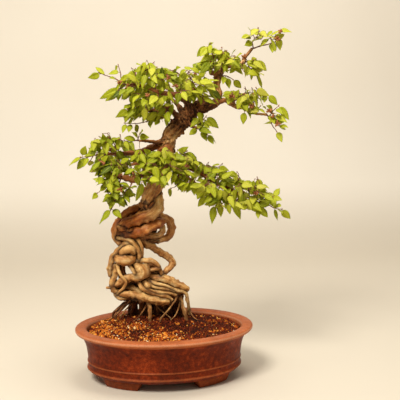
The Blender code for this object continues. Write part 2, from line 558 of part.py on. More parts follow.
def oval_ring(shape, half_length, height):
    """A ring of vertices on the pot's oval."""
    ring = []
    for step in range(POT_SEGMENTS):
        x, y = oval_point(half_length, 2 * math.pi * step / POT_SEGMENTS)
        ring.append(shape.verts.new((x, y, height)))
    return ring


def skin_rings(shape, rings):
    """Faces between one closed ring of vertices and the next."""
    for lower, upper in zip(rings, rings[1:]):
        count = len(lower)
        for step in range(count):
            after = (step + 1) % count
            shape.faces.new((lower[step], lower[after], upper[after], upper[step]))


def make_pot(parts, cutters, made):
    """The pot: a loft of ovals, with its feet fused on and two drain holes cut."""
    shape = bmesh.new()
    rings = [oval_ring(shape, length, height) for length, height in POT_PROFILE]
    skin_rings(shape, rings)
    shape.faces.new(rings[0])
    shape.faces.new(rings[-1])
    body = mesh_from(shape, "pot_body")
    feet = [make_foot(start, end) for start, end in foot_angles()]
    pot = fuse("pot", [body] + feet, parts, made)
    for side in (-1, 1):
        shape = bmesh.new()
        bmesh.ops.create_cone(shape, cap_ends=True, segments=16, radius1=DRAIN_RADIUS,
                              radius2=DRAIN_RADIUS, depth=3 * FLOOR_TOP)
        bmesh.ops.translate(shape, verts=shape.verts, vec=(side * DRAIN_SPREAD, 0, FLOOR_TOP))
        cutter = add_object("drain_cutter", mesh_from(shape, "drain_cutter"), cutters)
        mark_as_cutter(cutter)
        boolean(pot, "DIFFERENCE", cutter)
    return pot


def foot_angles():
    """Where each of the four feet starts and ends on the oval."""
    right_front = (-FOOT_END, -FOOT_START)
    right_back = (FOOT_START, FOOT_END)
    left_back = (math.pi - FOOT_END, math.pi - FOOT_START)
    left_front = (math.pi + FOOT_START, math.pi + FOOT_END)
    return right_front, right_back, left_back, left_front


def make_foot(start, end):
    """A tapered block that follows the oval between two angles."""
    shape = bmesh.new()
    sections = []
    for step in range(FOOT_STEPS + 1):
        share = step / FOOT_STEPS
        low = start + (end - start) * share
        high = start - FOOT_FLARE + (end - start + 2 * FOOT_FLARE) * share
        corners = (
            (*oval_point(FOOT_INNER, low), 0.0),
            (*oval_point(FOOT_OUTER_BOTTOM, low), 0.0),
            (*oval_point(FOOT_OUTER_TOP, high), FOOT_HEIGHT),
            (*oval_point(FOOT_INNER, high), FOOT_HEIGHT),
        )
        sections.append([shape.verts.new(corner) for corner in corners])
    skin_rings(shape, sections)
    shape.faces.new(sections[0])
    shape.faces.new(sections[-1])
    return mesh_from(shape, "foot")


def make_screen(name, side, parts, made):
    """A square of mesh that lies on the floor over a drain hole."""
    shape = bmesh.new()
    bmesh.ops.create_grid(shape, x_segments=SCREEN_CELLS, y_segments=SCREEN_CELLS,
                          size=SCREEN_SIDE / 2)
    cell = SCREEN_SIDE / SCREEN_CELLS
    openings = []
    for face in shape.faces:
        centre = face.calc_center_median()
        column = round(centre.x / cell)
        row = round(centre.y / cell)
        if abs(column) == 1 and abs(row) == 1:
            openings.append(face)
    bmesh.ops.delete(shape, geom=openings, context="FACES_ONLY")
    height = FLOOR_TOP + GAP
    bmesh.ops.translate(shape, verts=shape.verts, vec=(side * DRAIN_SPREAD, 0, height))
    screen = add_object(name, mesh_from(shape, name), parts, made)
    thicken = screen.modifiers.new("Thickness", "SOLIDIFY")
    thicken.thickness = SCREEN_THICKNESS
    thicken.offset = 1.0
    return screen


def soil_height(x, y):
    """The soil's surface: level, a little lumpy, and heaped up round the roots."""
    away = math.hypot(x - MOUND_CENTRE[0], y - MOUND_CENTRE[1])
    mound = MOUND_HEIGHT * math.exp(-(away / MOUND_SPREAD) ** 2 / 2)
    lumps = 0.0009 * math.sin(95 * x + 1.0) * math.cos(120 * y)
    return SOIL_LEVEL + mound + lumps


def inner_half_length(height):
    """The half length of the pot's inside at a height."""
    rings = sorted(POT_PROFILE[-POT_INNER_RINGS:], key=lambda ring: ring[1])
    for (lower_length, lower), (upper_length, upper) in zip(rings, rings[1:]):
        if height <= upper:
            share = max(0.0, (height - lower) / (upper - lower))
            return lower_length + (upper_length - lower_length) * share
    return rings[-1][0]


def make_soil(root_ends, parts, cutters, made):
    """The soil: it fills the pot, with a plain blind hole round each root that enters it."""
    shape = bmesh.new()
    heights = [FLOOR_TOP + GAP] + [ring[1] for ring in POT_PROFILE[:-POT_INNER_RINGS - 1:-1]
                                   if FLOOR_TOP < ring[1] < SOIL_EDGE] + [SOIL_EDGE]
    rings = [oval_ring(shape, inner_half_length(height) - 2 * GAP, height) for height in heights]
    shape.faces.new(rings[0])
    edge_length = inner_half_length(SOIL_EDGE) - 2 * GAP
    for share in SOIL_RINGS[1:]:
        ring = []
        for step in range(POT_SEGMENTS):
            x, y = oval_point(edge_length, 2 * math.pi * step / POT_SEGMENTS)
            ring.append(shape.verts.new((x * share, y * share, soil_height(x * share, y * share))))
        rings.append(ring)
    skin_rings(shape, rings)
    centre = shape.verts.new((0.0, 0.0, soil_height(0.0, 0.0)))
    last = rings[-1]
    for step in range(POT_SEGMENTS):
        shape.faces.new((last[step], last[(step + 1) % POT_SEGMENTS], centre))
    soil = add_object("soil", mesh_from(shape, "soil"), parts, made)
    holes = bpy.data.collections.new("root_holes")
    cutters.children.link(holes)
    for end, radius in root_ends:
        shape = bmesh.new()
        wide = radius * 1.06 + 2 * GAP
        deep = 2 * (soil_height(end.x, end.y) - ROOT_END)
        bmesh.ops.create_cone(shape, cap_ends=True, segments=HOLE_SIDES, radius1=wide,
                              radius2=wide, depth=deep)
        middle = (end.x, end.y, ROOT_END - GAP + deep / 2)
        bmesh.ops.translate(shape, verts=shape.verts, vec=middle)
        mark_as_cutter(add_object("root_hole", mesh_from(shape, "root_hole"), holes))
    for side in (-1, 1):
        shape = bmesh.new()
        bmesh.ops.create_cube(shape, size=1.0)
        pocket = SCREEN_SIDE + 4 * GAP
        bmesh.ops.scale(shape, verts=shape.verts, vec=(pocket, pocket, 2 * SCREEN_THICKNESS + 4 * GAP))
        bmesh.ops.translate(shape, verts=shape.verts, vec=(side * DRAIN_SPREAD, 0, FLOOR_TOP + GAP))
        mark_as_cutter(add_object("screen_pocket", mesh_from(shape, "screen_pocket"), holes))
    boolean(soil, "DIFFERENCE", holes)
    return soil


def seen(across, height, depth):
    """The place of a point that the eye sees at (across, height), at its depth."""
    reach = (EYE_DISTANCE + depth) / EYE_DISTANCE
    x = across * reach
    z = EYE_HEIGHT + (height - EYE_HEIGHT) * reach
    cosine = math.cos(POT_TURN)
    sine = math.sin(POT_TURN)
    return Vector((x * cosine + depth * sine, depth * cosine - x * sine, z)) * MM


def smooth_route(points, step):
    """A smooth curve through points of any size, in pieces of about a step."""
    ends = [points[0]] + list(points) + [points[-1]]
    curve = [Vector(points[0])]
    for before, start, end, after in zip(ends, ends[1:], ends[2:], ends[3:]):
        before, start, end, after = (Vector(point) for point in (before, start, end, after))
        pieces = max(1, round((end - start).length / step))
        for piece in range(1, pieces + 1):
            t = piece / pieces
            curve.append(0.5 * (2 * start + (end - before) * t
                                + (2 * before - 5 * start + 4 * end - after) * t ** 2
                                + (3 * start - before - 3 * end + after) * t ** 3))
    return curve


def tube(name, points, radii, sides):
    """A closed tube along points, as a mesh, from a bevelled curve."""
    curve = bpy.data.curves.new(name, "CURVE")
    curve.dimensions = "3D"
    curve.bevel_depth = MM
    curve.bevel_resolution = sides // 2 - 2
    curve.use_fill_caps = True
    spline = curve.splines.new("POLY")
    spline.points.add(len(points) - 1)
    for target, point, radius in zip(spline.points, points, radii):
        target.co = (*point, 1.0)
        target.radius = radius
    holder = bpy.data.objects.new(name, curve)
    bpy.context.scene.collection.objects.link(holder)
    mesh = applied_mesh(holder, name)
    bpy.data.objects.remove(holder)
    shape = bmesh.new()
    shape.from_mesh(mesh)
    bmesh.ops.remove_doubles(shape, verts=shape.verts, dist=MM / 100)
    bpy.data.meshes.remove(mesh)
    return mesh_from(shape, name)


def limb(name, route, root_ends=None):
    """A limb's tube. A root that enters the soil goes on straight down to its end."""
    widest = max(point[3] for point in route)
    narrowest = min(point[3] for point in route)
    curve = smooth_route(route, max(9.0, 1.5 * narrowest))
    points = [seen(*point[:3]) for point in curve]
    radii = [point[3] for point in curve]
    if root_ends is not None:
        last = points[-1]
        last.z = max(last.z, soil_height(last.x, last.y) + 0.004)
        end = Vector((last.x, last.y, ROOT_END))
        points.append(end)
        radii.append(radii[-1])
        root_ends.append((end, radii[-1] * MM))
    sides = 10 if widest > 9 else 8 if widest > 4.5 else 6
    return tube(name, points, radii, sides)


def make_wood(parts, made):
    """Trunk, roots and main branches, grown as one piece. Also where its roots end.

    The fused limbs are skinned anew in small squares, which blends them where they
    meet, and the skin is then thinned out to larger triangles where it is straight.
    """
    root_ends = []
    pieces = []
    for number, route in enumerate(TRUNK + UPPER_ROOTS + MIDDLE_ROOTS + LOWER_ROOTS + BRANCHES):
        pieces.append(limb(f"limb_{number}", route))
    for number, route in enumerate(SOIL_ROOTS):
        pieces.append(limb(f"soil_root_{number}", route, root_ends))
    wood = fuse("trunk_roots_branches", pieces, parts, made)
    skin = wood.modifiers.new("Skin", "REMESH")
    skin.mode = "VOXEL"
    skin.voxel_size = WOOD_CELL
    fine = applied_mesh(wood, "fine_skin")
    thin = wood.modifiers.new("Thin", "DECIMATE")
    thin.ratio = WOOD_TRIANGLES / (2 * len(fine.polygons))
    thinned = applied_mesh(wood, "trunk_roots_branches")
    wood.modifiers.clear()
    wood.data = thinned
    keep_largest(wood.data)
    return wood, root_ends


def search_tree(mesh):
    """A tree of a mesh's faces, to find what lies near it or crosses it."""
    places = [vertex.co.copy() for vertex in mesh.vertices]
    return BVHTree.FromPolygons(places, [tuple(face.vertices) for face in mesh.polygons])


def crosses(mesh, obstacles):
    own = search_tree(mesh)
    return any(own.overlap(obstacle) for obstacle in obstacles)


def stands_clear(point, tangent, radius, wood):
    """Whether a stem's round cut end at a point is outside the wood, a gap away."""
    across = tangent.orthogonal().normalized()
    other = tangent.cross(across)
    for corner in range(8):
        angle = corner * math.pi / 4
        rim = point + radius * (math.cos(angle) * across + math.sin(angle) * other)
        nearest, normal, _, distance = wood.find_nearest(rim)
        if distance < GAP or (rim - nearest).dot(normal) < 0:
            return False
    return True


def cut_at_wood(points, radius, wood):
    """A stem's points from where its end first stands clear of the limb it springs from."""
    fine = [points[0]]
    for start, end in zip(points, points[1:]):
        pieces = max(1, round((end - start).length / (MM / 2)))
        fine += [start.lerp(end, piece / pieces) for piece in range(1, pieces + 1)]
    for number in range(1, len(fine) - 1):
        tangent = (fine[number + 1] - fine[number - 1]).normalized()
        if stands_clear(fine[number], tangent, radius, wood):
            travelled = sum((b - a).length for a, b in zip(fine, fine[1:number + 1]))
            break
    kept = [fine[number]]
    passed = 0.0
    for start, end in zip(points, points[1:]):
        passed += (end - start).length
        if passed > travelled + STEM_MARGIN:
            kept.append(end)
    return kept


def make_stems(name, routes, wood, obstacles):
    """The tubes of one spray's stems, bent nearer or farther where they would cross a limb."""
    for shift in STEM_SHIFTS:
        meshes = []
        guides = []
        for number, route in enumerate(routes):
            last = len(route) - 1
            bent = [(x, z, depth + shift * place / last) for place, (x, z, depth) in enumerate(route)]
            guide = smooth_route(bent, STEM_STEP)
            points = [seen(*point) for point in guide]
            if number == 0:
                points = cut_at_wood(points, STEM_RADII[0] * MM, wood)
            count = len(points) - 1
            radii = [STEM_RADII[0] + (STEM_RADII[1] - STEM_RADII[0]) * place / count
                     for place in range(count + 1)]
            meshes.append(tube(f"{name}_stem_{number}", points, radii, STEM_SIDES))
            guides.append(guide)
        if not any(crosses(mesh, [wood] + obstacles) for mesh in meshes):
            break
    else:
        print("stems of", name, "still cross a neighbour")
    return meshes, guides


def nearest_on(guides, across, height):
    """The stem point that is seen nearest to a place, and how far off it is seen."""
    best = None
    for guide in guides:
        for start, end in zip(guide, guide[1:]):
            run = Vector((end.x - start.x, end.y - start.y))
            gap = Vector((across - start.x, height - start.y))
            share = min(1.0, max(0.0, gap.dot(run) / max(run.length_squared, 1e-9)))
            point = start.lerp(end, share)
            away = math.hypot(across - point.x, height - point.y)
            if best is None or away < best[1]:
                best = (point, away)
    return best


def aim_leaf(leaf, guides, chance):
    """A leaf's stem point, root, direction, face and length, from where it is seen."""
    root_x, root_z, tip_x, tip_z = leaf
    stem, away = nearest_on(guides, root_x, root_z)
    if away < STALK_LEAST:
        root_x, root_z = stem.x, stem.y
    depth = stem.z + chance.uniform(-0.5, 0.5) * min(away, 10.0)
    shown = math.hypot(tip_x - root_x, tip_z - root_z)
    length = LEAF_LENGTH / MM * chance.uniform(0.92, 1.08)
    slant = math.sqrt(max(0.0, length ** 2 - shown ** 2))
    behind = stem.z > BACK_DEPTH
    toward_eye = chance.random() < (0.2 if behind else 0.75)
    tip_depth = depth - slant if toward_eye else depth + slant
    root = seen(root_x, root_z, depth)
    tip = seen(tip_x, tip_z, tip_depth)
    if away < STALK_LEAST:
        root += (tip - root).normalized() * STALK_LEAST * MM
    along = (tip - root).normalized()
    front = Vector((0, 0.5, 0.85)) if behind else Vector((0, -0.75, 0.65))
    face = (front - along * front.dot(along)).normalized()
    face = Matrix.Rotation(chance.gauss(0.0, math.radians(20)), 3, along) @ face
    return seen(*stem), root, along, face, (tip - root).length


def leaf_mesh(stem, root, along, face, length, spare=0.0):
    """A three-sided stalk from inside the stem, and a blade with toothed edges, folded a
    little along its raised rib, its tip bent down."""
    side = along.cross(face)
    half_width = LEAF_WIDTH * length / 2 + spare
    stretch = (length + 2 * spare) / length
    shape = bmesh.new()

    def corner(forward, wide, lift):
        bend = LEAF_BEND * length * forward ** 2
        place = ((forward - 0.5) * stretch + 0.5) * length
        return shape.verts.new(root + along * place + side * wide + face * (lift - bend))

    def section(middle, right, up):
        """The stalk's three corners: right, top and left."""
        corners = []
        for angle in STALK_ANGLES:
            reach = (STALK_RADIUS + spare) * (right * math.cos(angle) + up * math.sin(angle))
            corners.append(shape.verts.new(middle + reach))
        return corners

    run = (root - stem).normalized()
    right_of_run = run.cross(face).normalized()
    lower = section(stem, right_of_run, right_of_run.cross(run))
    upper = section(root, side, face)
    skin_rings(shape, [lower, upper])
    shape.faces.new(lower)
    right = [corner(forward, wide * half_width, wide * LEAF_FOLD * length)
             for forward, wide in LEAF_EDGE]
    left = [corner(forward, -wide * half_width, wide * LEAF_FOLD * length)
            for forward, wide in reversed(LEAF_EDGE)]
    ring = [upper[0]] + right + [corner(1.0, 0.0, 0.0)] + left + [upper[2]]
    thick = LEAF_THICKNESS / 2 + spare
    top = corner(LEAF_RIB, 0.0, thick)
    bottom = corner(LEAF_RIB, 0.0, -thick)
    for start, end in zip(ring, ring[1:]):
        shape.faces.new((start, end, top))
        shape.faces.new((end, start, bottom))
    shape.faces.new((upper[2], upper[1], top))
    shape.faces.new((upper[1], upper[0], top))
    shape.faces.new((upper[0], upper[2], bottom))
    return mesh_from(shape, "leaf")


def grow_leaf(leaf, guides, chance, obstacles):
    """One leaf's mesh, bent aside where it would cross something, or none."""
    stem, root, along, face, length = aim_leaf(leaf, guides, chance)
    for turn, droop in LEAF_BENDS:
        turned = Matrix.Rotation(math.radians(turn), 3, face) @ along
        tilt = Matrix.Rotation(math.radians(droop), 3, turned.cross(face))
        aim = tilt @ turned
        up = tilt @ face
        base = root
        if (root - stem).normalized().dot(aim) < STALK_TURN:
            base = stem + aim * STALK_LEAST * MM
        trial = leaf_mesh(stem, base, aim, up, length, LEAF_CLEARANCE)
        blocked = crosses(trial, obstacles)
        bpy.data.meshes.remove(trial)
        if not blocked:
            return leaf_mesh(stem, base, aim, up, length)
    return None


def keep_largest(mesh):
    """Drop loose scraps and fill sealed hollows: only the largest shell stays."""
    shape = bmesh.new()
    shape.from_mesh(mesh)
    unseen = set(shape.faces)
    shells = []
    while unseen:
        shell = [unseen.pop()]
        for face in shell:
            for edge in face.edges:
                for other in edge.link_faces:
                    if other in unseen:
                        unseen.remove(other)
                        shell.append(other)
        shells.append(shell)
    shells.sort(key=len)
    for shell in shells[:-1]:
        bmesh.ops.delete(shape, geom=shell, context="FACES")
    for distance in WELDS:
        if all(len(edge.link_faces) == 2 for edge in shape.edges):
            break
        bmesh.ops.remove_doubles(shape, verts=shape.verts, dist=distance)
    shape.to_mesh(mesh)
    shape.free()


def make_sprays(wood_mesh, parts, made):
    """Every leafy spray: its stems, stalks and leaves fused in one body."""
    wood = search_tree(wood_mesh)
    chance = random.Random(SEED)
    stems = {}
    stem_trees = []
    for name, (routes, _) in SPRAYS.items():
        meshes, guides = make_stems(name, routes, wood, stem_trees)
        stems[name] = (meshes, guides)
        stem_trees += [search_tree(mesh) for mesh in meshes]
    leaf_trees = []
    dropped = 0
    for name, (routes, leaves) in SPRAYS.items():
        meshes, guides = stems[name]
        foreign = [search_tree(mesh) for other, (held, _) in stems.items() if other != name
                   for mesh in held]
        pieces = list(meshes)
        for leaf in leaves:
            blade = grow_leaf(leaf, guides, chance, [wood] + foreign + leaf_trees)
            if blade is None:
                dropped += 1
                continue
            pieces.append(blade)
            leaf_trees.append(search_tree(blade))
        spray = fuse("spray_" + name, pieces, parts, made)
        keep_largest(spray.data)
    print("leaves left out where nothing is clear:", dropped)


def main():
    for thing in list(bpy.data.objects):
        bpy.data.objects.remove(thing)
    scene = bpy.context.scene
    parts = bpy.data.collections.new("korean_hornbeam_bonsai")
    cutters = bpy.data.collections.new("cutters")
    scene.collection.children.link(parts)
    scene.collection.children.link(cutters)

    clay = material("fired_clay", (0.20, 0.055, 0.022), 0.55)
    granules = material("soil_granules", (0.16, 0.05, 0.02), 0.95)
    mesh_plastic = material("dark_plastic", (0.02, 0.02, 0.02), 0.6)
    bark = material("bark", (0.42, 0.25, 0.11), 0.8)
    leaf_green = material("leaf_green", (0.28, 0.40, 0.03), 0.5)

    make_pot(parts, cutters, clay)
    make_screen("drain_mesh_left", -1, parts, mesh_plastic)
    make_screen("drain_mesh_right", 1, parts, mesh_plastic)
    wood, root_ends = make_wood(parts, bark)
    make_soil(root_ends, parts, cutters, granules)
    make_sprays(wood.data, parts, leaf_green)
    stand_at_origin(parts, cutters)


def stand_at_origin(parts, cutters):
    """Carry everything on one empty, so that the whole stands centred on the origin."""
    bpy.context.view_layer.update()
    graph = bpy.context.evaluated_depsgraph_get()
    low = Vector((math.inf,) * 3)
    high = -low
    for thing in parts.objects:
        for vertex in thing.evaluated_get(graph).data.vertices:
            low = Vector(map(min, low, vertex.co))
            high = Vector(map(max, high, vertex.co))
        thing.data.shade_smooth()
        thing.data.set_sharp_from_angle(angle=SHARP_ANGLE)
    base = bpy.data.objects.new("bonsai_base", None)
    parts.objects.link(base)
    base.location = (-(low.x + high.x) / 2, -(low.y + high.y) / 2, -low.z)
    for thing in list(parts.objects) + list(cutters.all_objects):
        if thing is not base:
            thing.parent = base


main()
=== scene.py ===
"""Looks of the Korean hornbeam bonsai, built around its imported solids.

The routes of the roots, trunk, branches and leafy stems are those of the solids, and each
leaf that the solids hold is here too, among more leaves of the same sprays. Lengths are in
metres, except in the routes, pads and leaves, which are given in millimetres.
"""
import math
import random

import bmesh
import bpy
import numpy as np
from mathutils import Matrix, Vector, noise
from mathutils.kdtree import KDTree


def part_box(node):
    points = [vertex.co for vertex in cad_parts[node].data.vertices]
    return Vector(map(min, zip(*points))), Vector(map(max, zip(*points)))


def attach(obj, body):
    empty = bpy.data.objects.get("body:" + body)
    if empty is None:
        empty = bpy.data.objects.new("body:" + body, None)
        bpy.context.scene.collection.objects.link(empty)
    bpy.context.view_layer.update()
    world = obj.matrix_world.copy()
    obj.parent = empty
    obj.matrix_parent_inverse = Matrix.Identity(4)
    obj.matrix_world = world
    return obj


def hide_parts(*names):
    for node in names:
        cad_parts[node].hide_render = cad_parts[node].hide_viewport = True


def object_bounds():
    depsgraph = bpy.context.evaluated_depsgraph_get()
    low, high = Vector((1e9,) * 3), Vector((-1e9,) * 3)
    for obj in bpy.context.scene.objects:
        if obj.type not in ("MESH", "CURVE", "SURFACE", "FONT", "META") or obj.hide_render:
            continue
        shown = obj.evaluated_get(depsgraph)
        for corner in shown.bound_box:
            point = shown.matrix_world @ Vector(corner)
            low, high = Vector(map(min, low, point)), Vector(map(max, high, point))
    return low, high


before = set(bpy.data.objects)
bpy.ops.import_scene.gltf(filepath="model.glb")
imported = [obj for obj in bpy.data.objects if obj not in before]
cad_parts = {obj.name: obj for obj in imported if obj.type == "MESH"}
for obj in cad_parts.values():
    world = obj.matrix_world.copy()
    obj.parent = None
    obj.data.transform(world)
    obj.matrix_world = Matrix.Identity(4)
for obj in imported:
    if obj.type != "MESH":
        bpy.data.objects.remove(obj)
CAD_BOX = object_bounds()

MM = 0.001
SEED = 11

# Pot, as in the solids
POT_HALF_LENGTH = 0.178
POT_HALF_WIDTH = 0.1285
POT_SEGMENTS = 168
FLOOR_TOP = 0.027
DRAIN_SPREAD = 0.062
DRAIN_RADIUS = 0.008
POT_PROFILE = (
    (0.146, 0.0175), (0.149, 0.0195), (0.1520, 0.0225), (0.1530, 0.0243), (0.1553, 0.0252),
    (0.1553, 0.0274), (0.1532, 0.0286), (0.1528, 0.031), (0.1530, 0.0382), (0.1546, 0.0393),
    (0.1546, 0.0409), (0.1532, 0.0421), (0.1538, 0.053), (0.1570, 0.073), (0.1630, 0.0875),
    (0.1680, 0.0930), (0.1735, 0.0960), (0.1772, 0.0985), (0.178, 0.1025), (0.1768, 0.1048),
    (0.1738, 0.106), (0.158, 0.1055), (0.1555, 0.1035),
    (0.150, 0.075), (0.143, 0.038), (0.134, FLOOR_TOP),
)
CORNER_CUT = 0.22
CLAY_WAVE = 0.00018
SMOOTH_ANGLE = math.radians(38)
# Heights of the lip's widest edge, of where the lip begins, and of the two raised lines
RIM_EDGE = 0.1022
RIM_FOOT = 0.0900
THICK_BEAD = 0.0263
THIN_BEAD = 0.0401
FOOT_HEIGHT = 0.021
FOOT_INNER = 0.118
FOOT_OUTER_BOTTOM = 0.138
FOOT_OUTER_TOP = 0.144
FOOT_START = math.radians(31)
FOOT_END = math.radians(64)
FOOT_FLARE = math.radians(4)
FOOT_STEPS = 14
FOOT_EDGE = 0.0016

# Soil, and the granules over it
SOIL_LEVEL = 0.0985
MOUND_HEIGHT = 0.012
MOUND_SPREAD = 0.055
MOUND_CENTRE = (-0.021, 0.040)
GRANULE_FIELD = 0.1518
GRANULE_SHAPES = 12
GRANULE_CORNERS = 12
GRANULE_STEP = 0.0031
GRANULE_JITTER = 0.42
GRANULES_ON_TOP = 700
LARGEST_GRANULE = 0.0034

# Where the eye stands that the routes below are set from
EYE_DISTANCE = 1392.0
EYE_HEIGHT = 521.0
EYE_YAW = 0.0507
EYE_PITCH = 0.1178
EYE_LENS = 64.08
POT_TURN = math.radians(5.2)

# Wood: the size of its skin's cells, and the steps in millimetres along its routes
WOOD_CELL = 0.0012
LIMB_STEP = 2.5
LIMB_SIDES = 16
ROOT_STEP = 1.8
# The sides of a root's tube, by the radius that it passes
ROOT_SIDES = ((0.0075, 26), (0.004, 20), (0.002, 12), (0.0, 8))
# The most that bark stands out or in, as a share of the radius
MOST_ROOT_PUSH = 0.4
MOST_TRUNK_PUSH = 0.35
# Roots in the soil turn down a little over its surface and end at one height inside it
ROOT_LIFT = 0.004
ROOT_END = 0.088
BURIED_STEPS = 10
# How far off another limb the bark is painted dark as crease shade, and how much
CREASE_REACH = 0.0060
CREASE_SHADE = 0.95
CREASE_BATCH = 2000
# Bark streaks are stretched along a limb by this share, and shifted from limb to limb
GRAIN_SHARE = 0.22
GRAIN_SHIFT = 0.37
# The kinds of limb that share one skin; the others are tubes of their own
GROWN_KINDS = ("trunk", "branch")
# The branches with paler bark than the others, and how rusty each upper root is where it is lit
PALE_BRANCHES = (0, 1, 2, 4)
UPPER_RUST = (0.0, 0.30, 0.82, 0.30, 0.34, 0.30, 0.30)
# Numbers of single roots that stand apart by their colour, the dark and the shaded ones darkened as painted
# shade, and how many knots are on the neck
DARK_UPPER = 3
SHADED_UPPER = 4
RUSTY_MIDDLE = 4
SHADED_LOWER = 9
NECK_KNOTS = 3
# How dark each strand and each root in the soil is
STRAND_DARKNESS = (0.85, 0.70, 0.40, 0.50, 0.60, 0.20)
SOIL_ROOT_DARKNESS = (0.9, 0.95, 0.95, 0.95, 0.35, 0.45, 0.25, 0.85, 0.95, 0.9, 0.95, 0.95)

# Leaves: length and most width in millimetres, and the rows and columns of their blades
LEAF_LENGTH = 24.0
MOST_WIDTH = 15.0
BLADE_THICKNESS = 0.00035
FINE_BLADE = (16, 6)
PLAIN_BLADE = (12, 4)
VEINS = 9.0
VEIN_SLANT = 2.2
# How far leaves roll about their ribs: the spread, and the most for one listed
HAND_ROLL = math.radians(30)
MOST_ROLL = 0.55
FILL_ROLL = math.radians(24)
# Beyond this depth the eye can't see a leaf, and no leaf lies beyond the second one
BACK_DEPTH = 50.0
MOST_DEPTH = 92.0
# The layers of each pad, by depth, and the gaps between the leaves of a layer
LAYERS = (-16.0, 4.0, 24.0, 46.0)
LEAF_GAP = 11.5
REAR_LAYER_GAP = 14.0
WOOD_CLEARANCE = 0.004

# Stems: the step in millimetres along them, their kinks, and their radii in millimetres
STEM_STEP = 4.0
STEM_KINK = 0.0005
FIRST_STEM = 1.5
SIDE_STEM = 1.15
STEM_TIP = 0.55
STEM_SWELLING = 1.22
STEM_BUD = 0.0036
# Twigs and stalks, in metres
TWIG_STEP = 0.006
TWIG_RADIUS = 0.00075
BUD_TWIG_RADIUS = 0.0010
STALK_RADII = (0.00062, 0.00048, 0.00042)
HAND_SAG = 0.0004
FILL_SAG = 0.0003
# A filling leaf farther than this from a stem leans away from it, and farther than that has a twig
LEAN_REACH = 0.004
TWIG_REACH = 0.009
TWIG_BUD_SHARE = 0.30
MOST_NODES = 40000
# A spray's materials by number
BLADE, TWIG, BUD = 0, 1, 2

# Each light: its name, place, size, power, colour and what it is turned to
LIGHTS = (
    ("key", (-0.9, -1.3, 2.0), 0.7, 57.0, (1.0, 0.97, 0.91), (0.0, 0.0, 0.36)),
    ("top", (0.2, -0.1, 2.2), 1.0, 25.0, (1.0, 0.97, 0.92), (0.0, 0.0, 0.36)),
    ("backdrop", (1.1, 0.6, 1.9), 0.9, 4.5, (1.0, 0.97, 0.92), (0.5, 1.8, 0.7)),
    ("fill", (1.6, -1.2, 0.7), 1.4, 3.0, (1.0, 0.94, 0.84), (0.0, 0.0, 0.36)),
)
WORLD_COLOUR = (1.0, 0.94, 0.85, 1.0)
WORLD_STRENGTH = 0.21
# The stage: how far it reaches aside and up, where its front edge is, and its sweep at the back
STAGE_REACH = 3.2
STAGE_FRONT = -2.2
SWEEP_START = 1.1
SWEEP_RADIUS = 0.7
SWEEP_STEPS = 12

# Roots inside and behind the coil, darkened as painted shade, which only the shadows between the others
# show
INNER_ROOTS = (
    ((-78, 316, 40, 7), (-57, 325, 40, 8), (-31, 328, 40, 8), (-17, 315, 44, 8), (-31, 301, 44, 8),
     (-57, 298, 42, 8), (-75, 295, 40, 8)),
    ((-63, 290, 40, 8), (-49, 276, 40, 9), (-50, 255, 40, 9), (-63, 244, 36, 10), (-78, 246, 34, 9),
     (-84, 232, 30, 7), (-84, 218, 28, 6), (-80, 205, 26, 6)),
    ((-62, 232, 36, 7), (-49, 215, 36, 9), (-39, 197, 36, 8), (-32, 190, 34, 7), (-10, 188, 36, 7),
     (14, 180, 38, 6.5), (30, 171, 38, 5)),
    ((-88, 226, 30, 4), (-88, 214, 30, 4), (-87, 201, 30, 4.5), (-80, 190, 30, 5), (-66, 186, 34, 5)),
    ((-96, 179, 36, 5), (-80, 180, 38, 7), (-59, 184, 40, 7), (-39, 175, 40, 7), (-14, 171, 40, 6)),
    ((-104, 236, 30, 5), (-103, 214, 32, 5), (-100, 196, 32, 5), (-96, 182, 32, 5)),
    ((-38, 226, 34, 5), (-26, 225, 34, 6), (-14, 219, 36, 5.5), (-6, 209, 38, 5), (0, 201, 40, 4)),
    ((-84, 192, 38, 5), (-70, 195, 38, 6), (-54, 194, 38, 6), (-42, 191, 38, 5)),
    ((-92, 174, 44, 6), (-76, 177, 44, 6), (-60, 174, 44, 6)),
    ((-26, 181, 42, 5), (-4, 176, 42, 5), (16, 172, 42, 5)),
    ((-44, 210, 36, 5), (-28, 214, 36, 5.5), (-8, 212, 38, 5)),
    ((-48, 297, 40, 6), (-32, 297, 40, 6), (-18, 296, 38, 5)),
    ((-92, 288, 34, 5), (-82, 277, 34, 6), (-70, 270, 34, 6)),
)
# Lumps of bark where roots have grown together
KNOTS = (
    ((-48, 350, 12, 3), (-44, 344, 8, 4.5), (-40, 338, 8, 3.5)),
    ((-37, 351, 7, 3), (-35, 344, 6, 4.5), (-34, 338, 6, 3)),
    ((-30, 341, 7, 3.5), (-26, 345, 6, 4.2), (-22, 351, 8, 3)),
    ((-90, 304, 12, 3.5), (-84, 300, 8, 5), (-76, 300, 6, 4)),
    ((-88, 290, 12, 3.5), (-80, 288, 9, 5), (-71, 286, 7, 4)),
    ((-73, 297, 6, 3.5), (-67, 295, 4, 4.5), (-62, 299, 6, 3.5)),
)
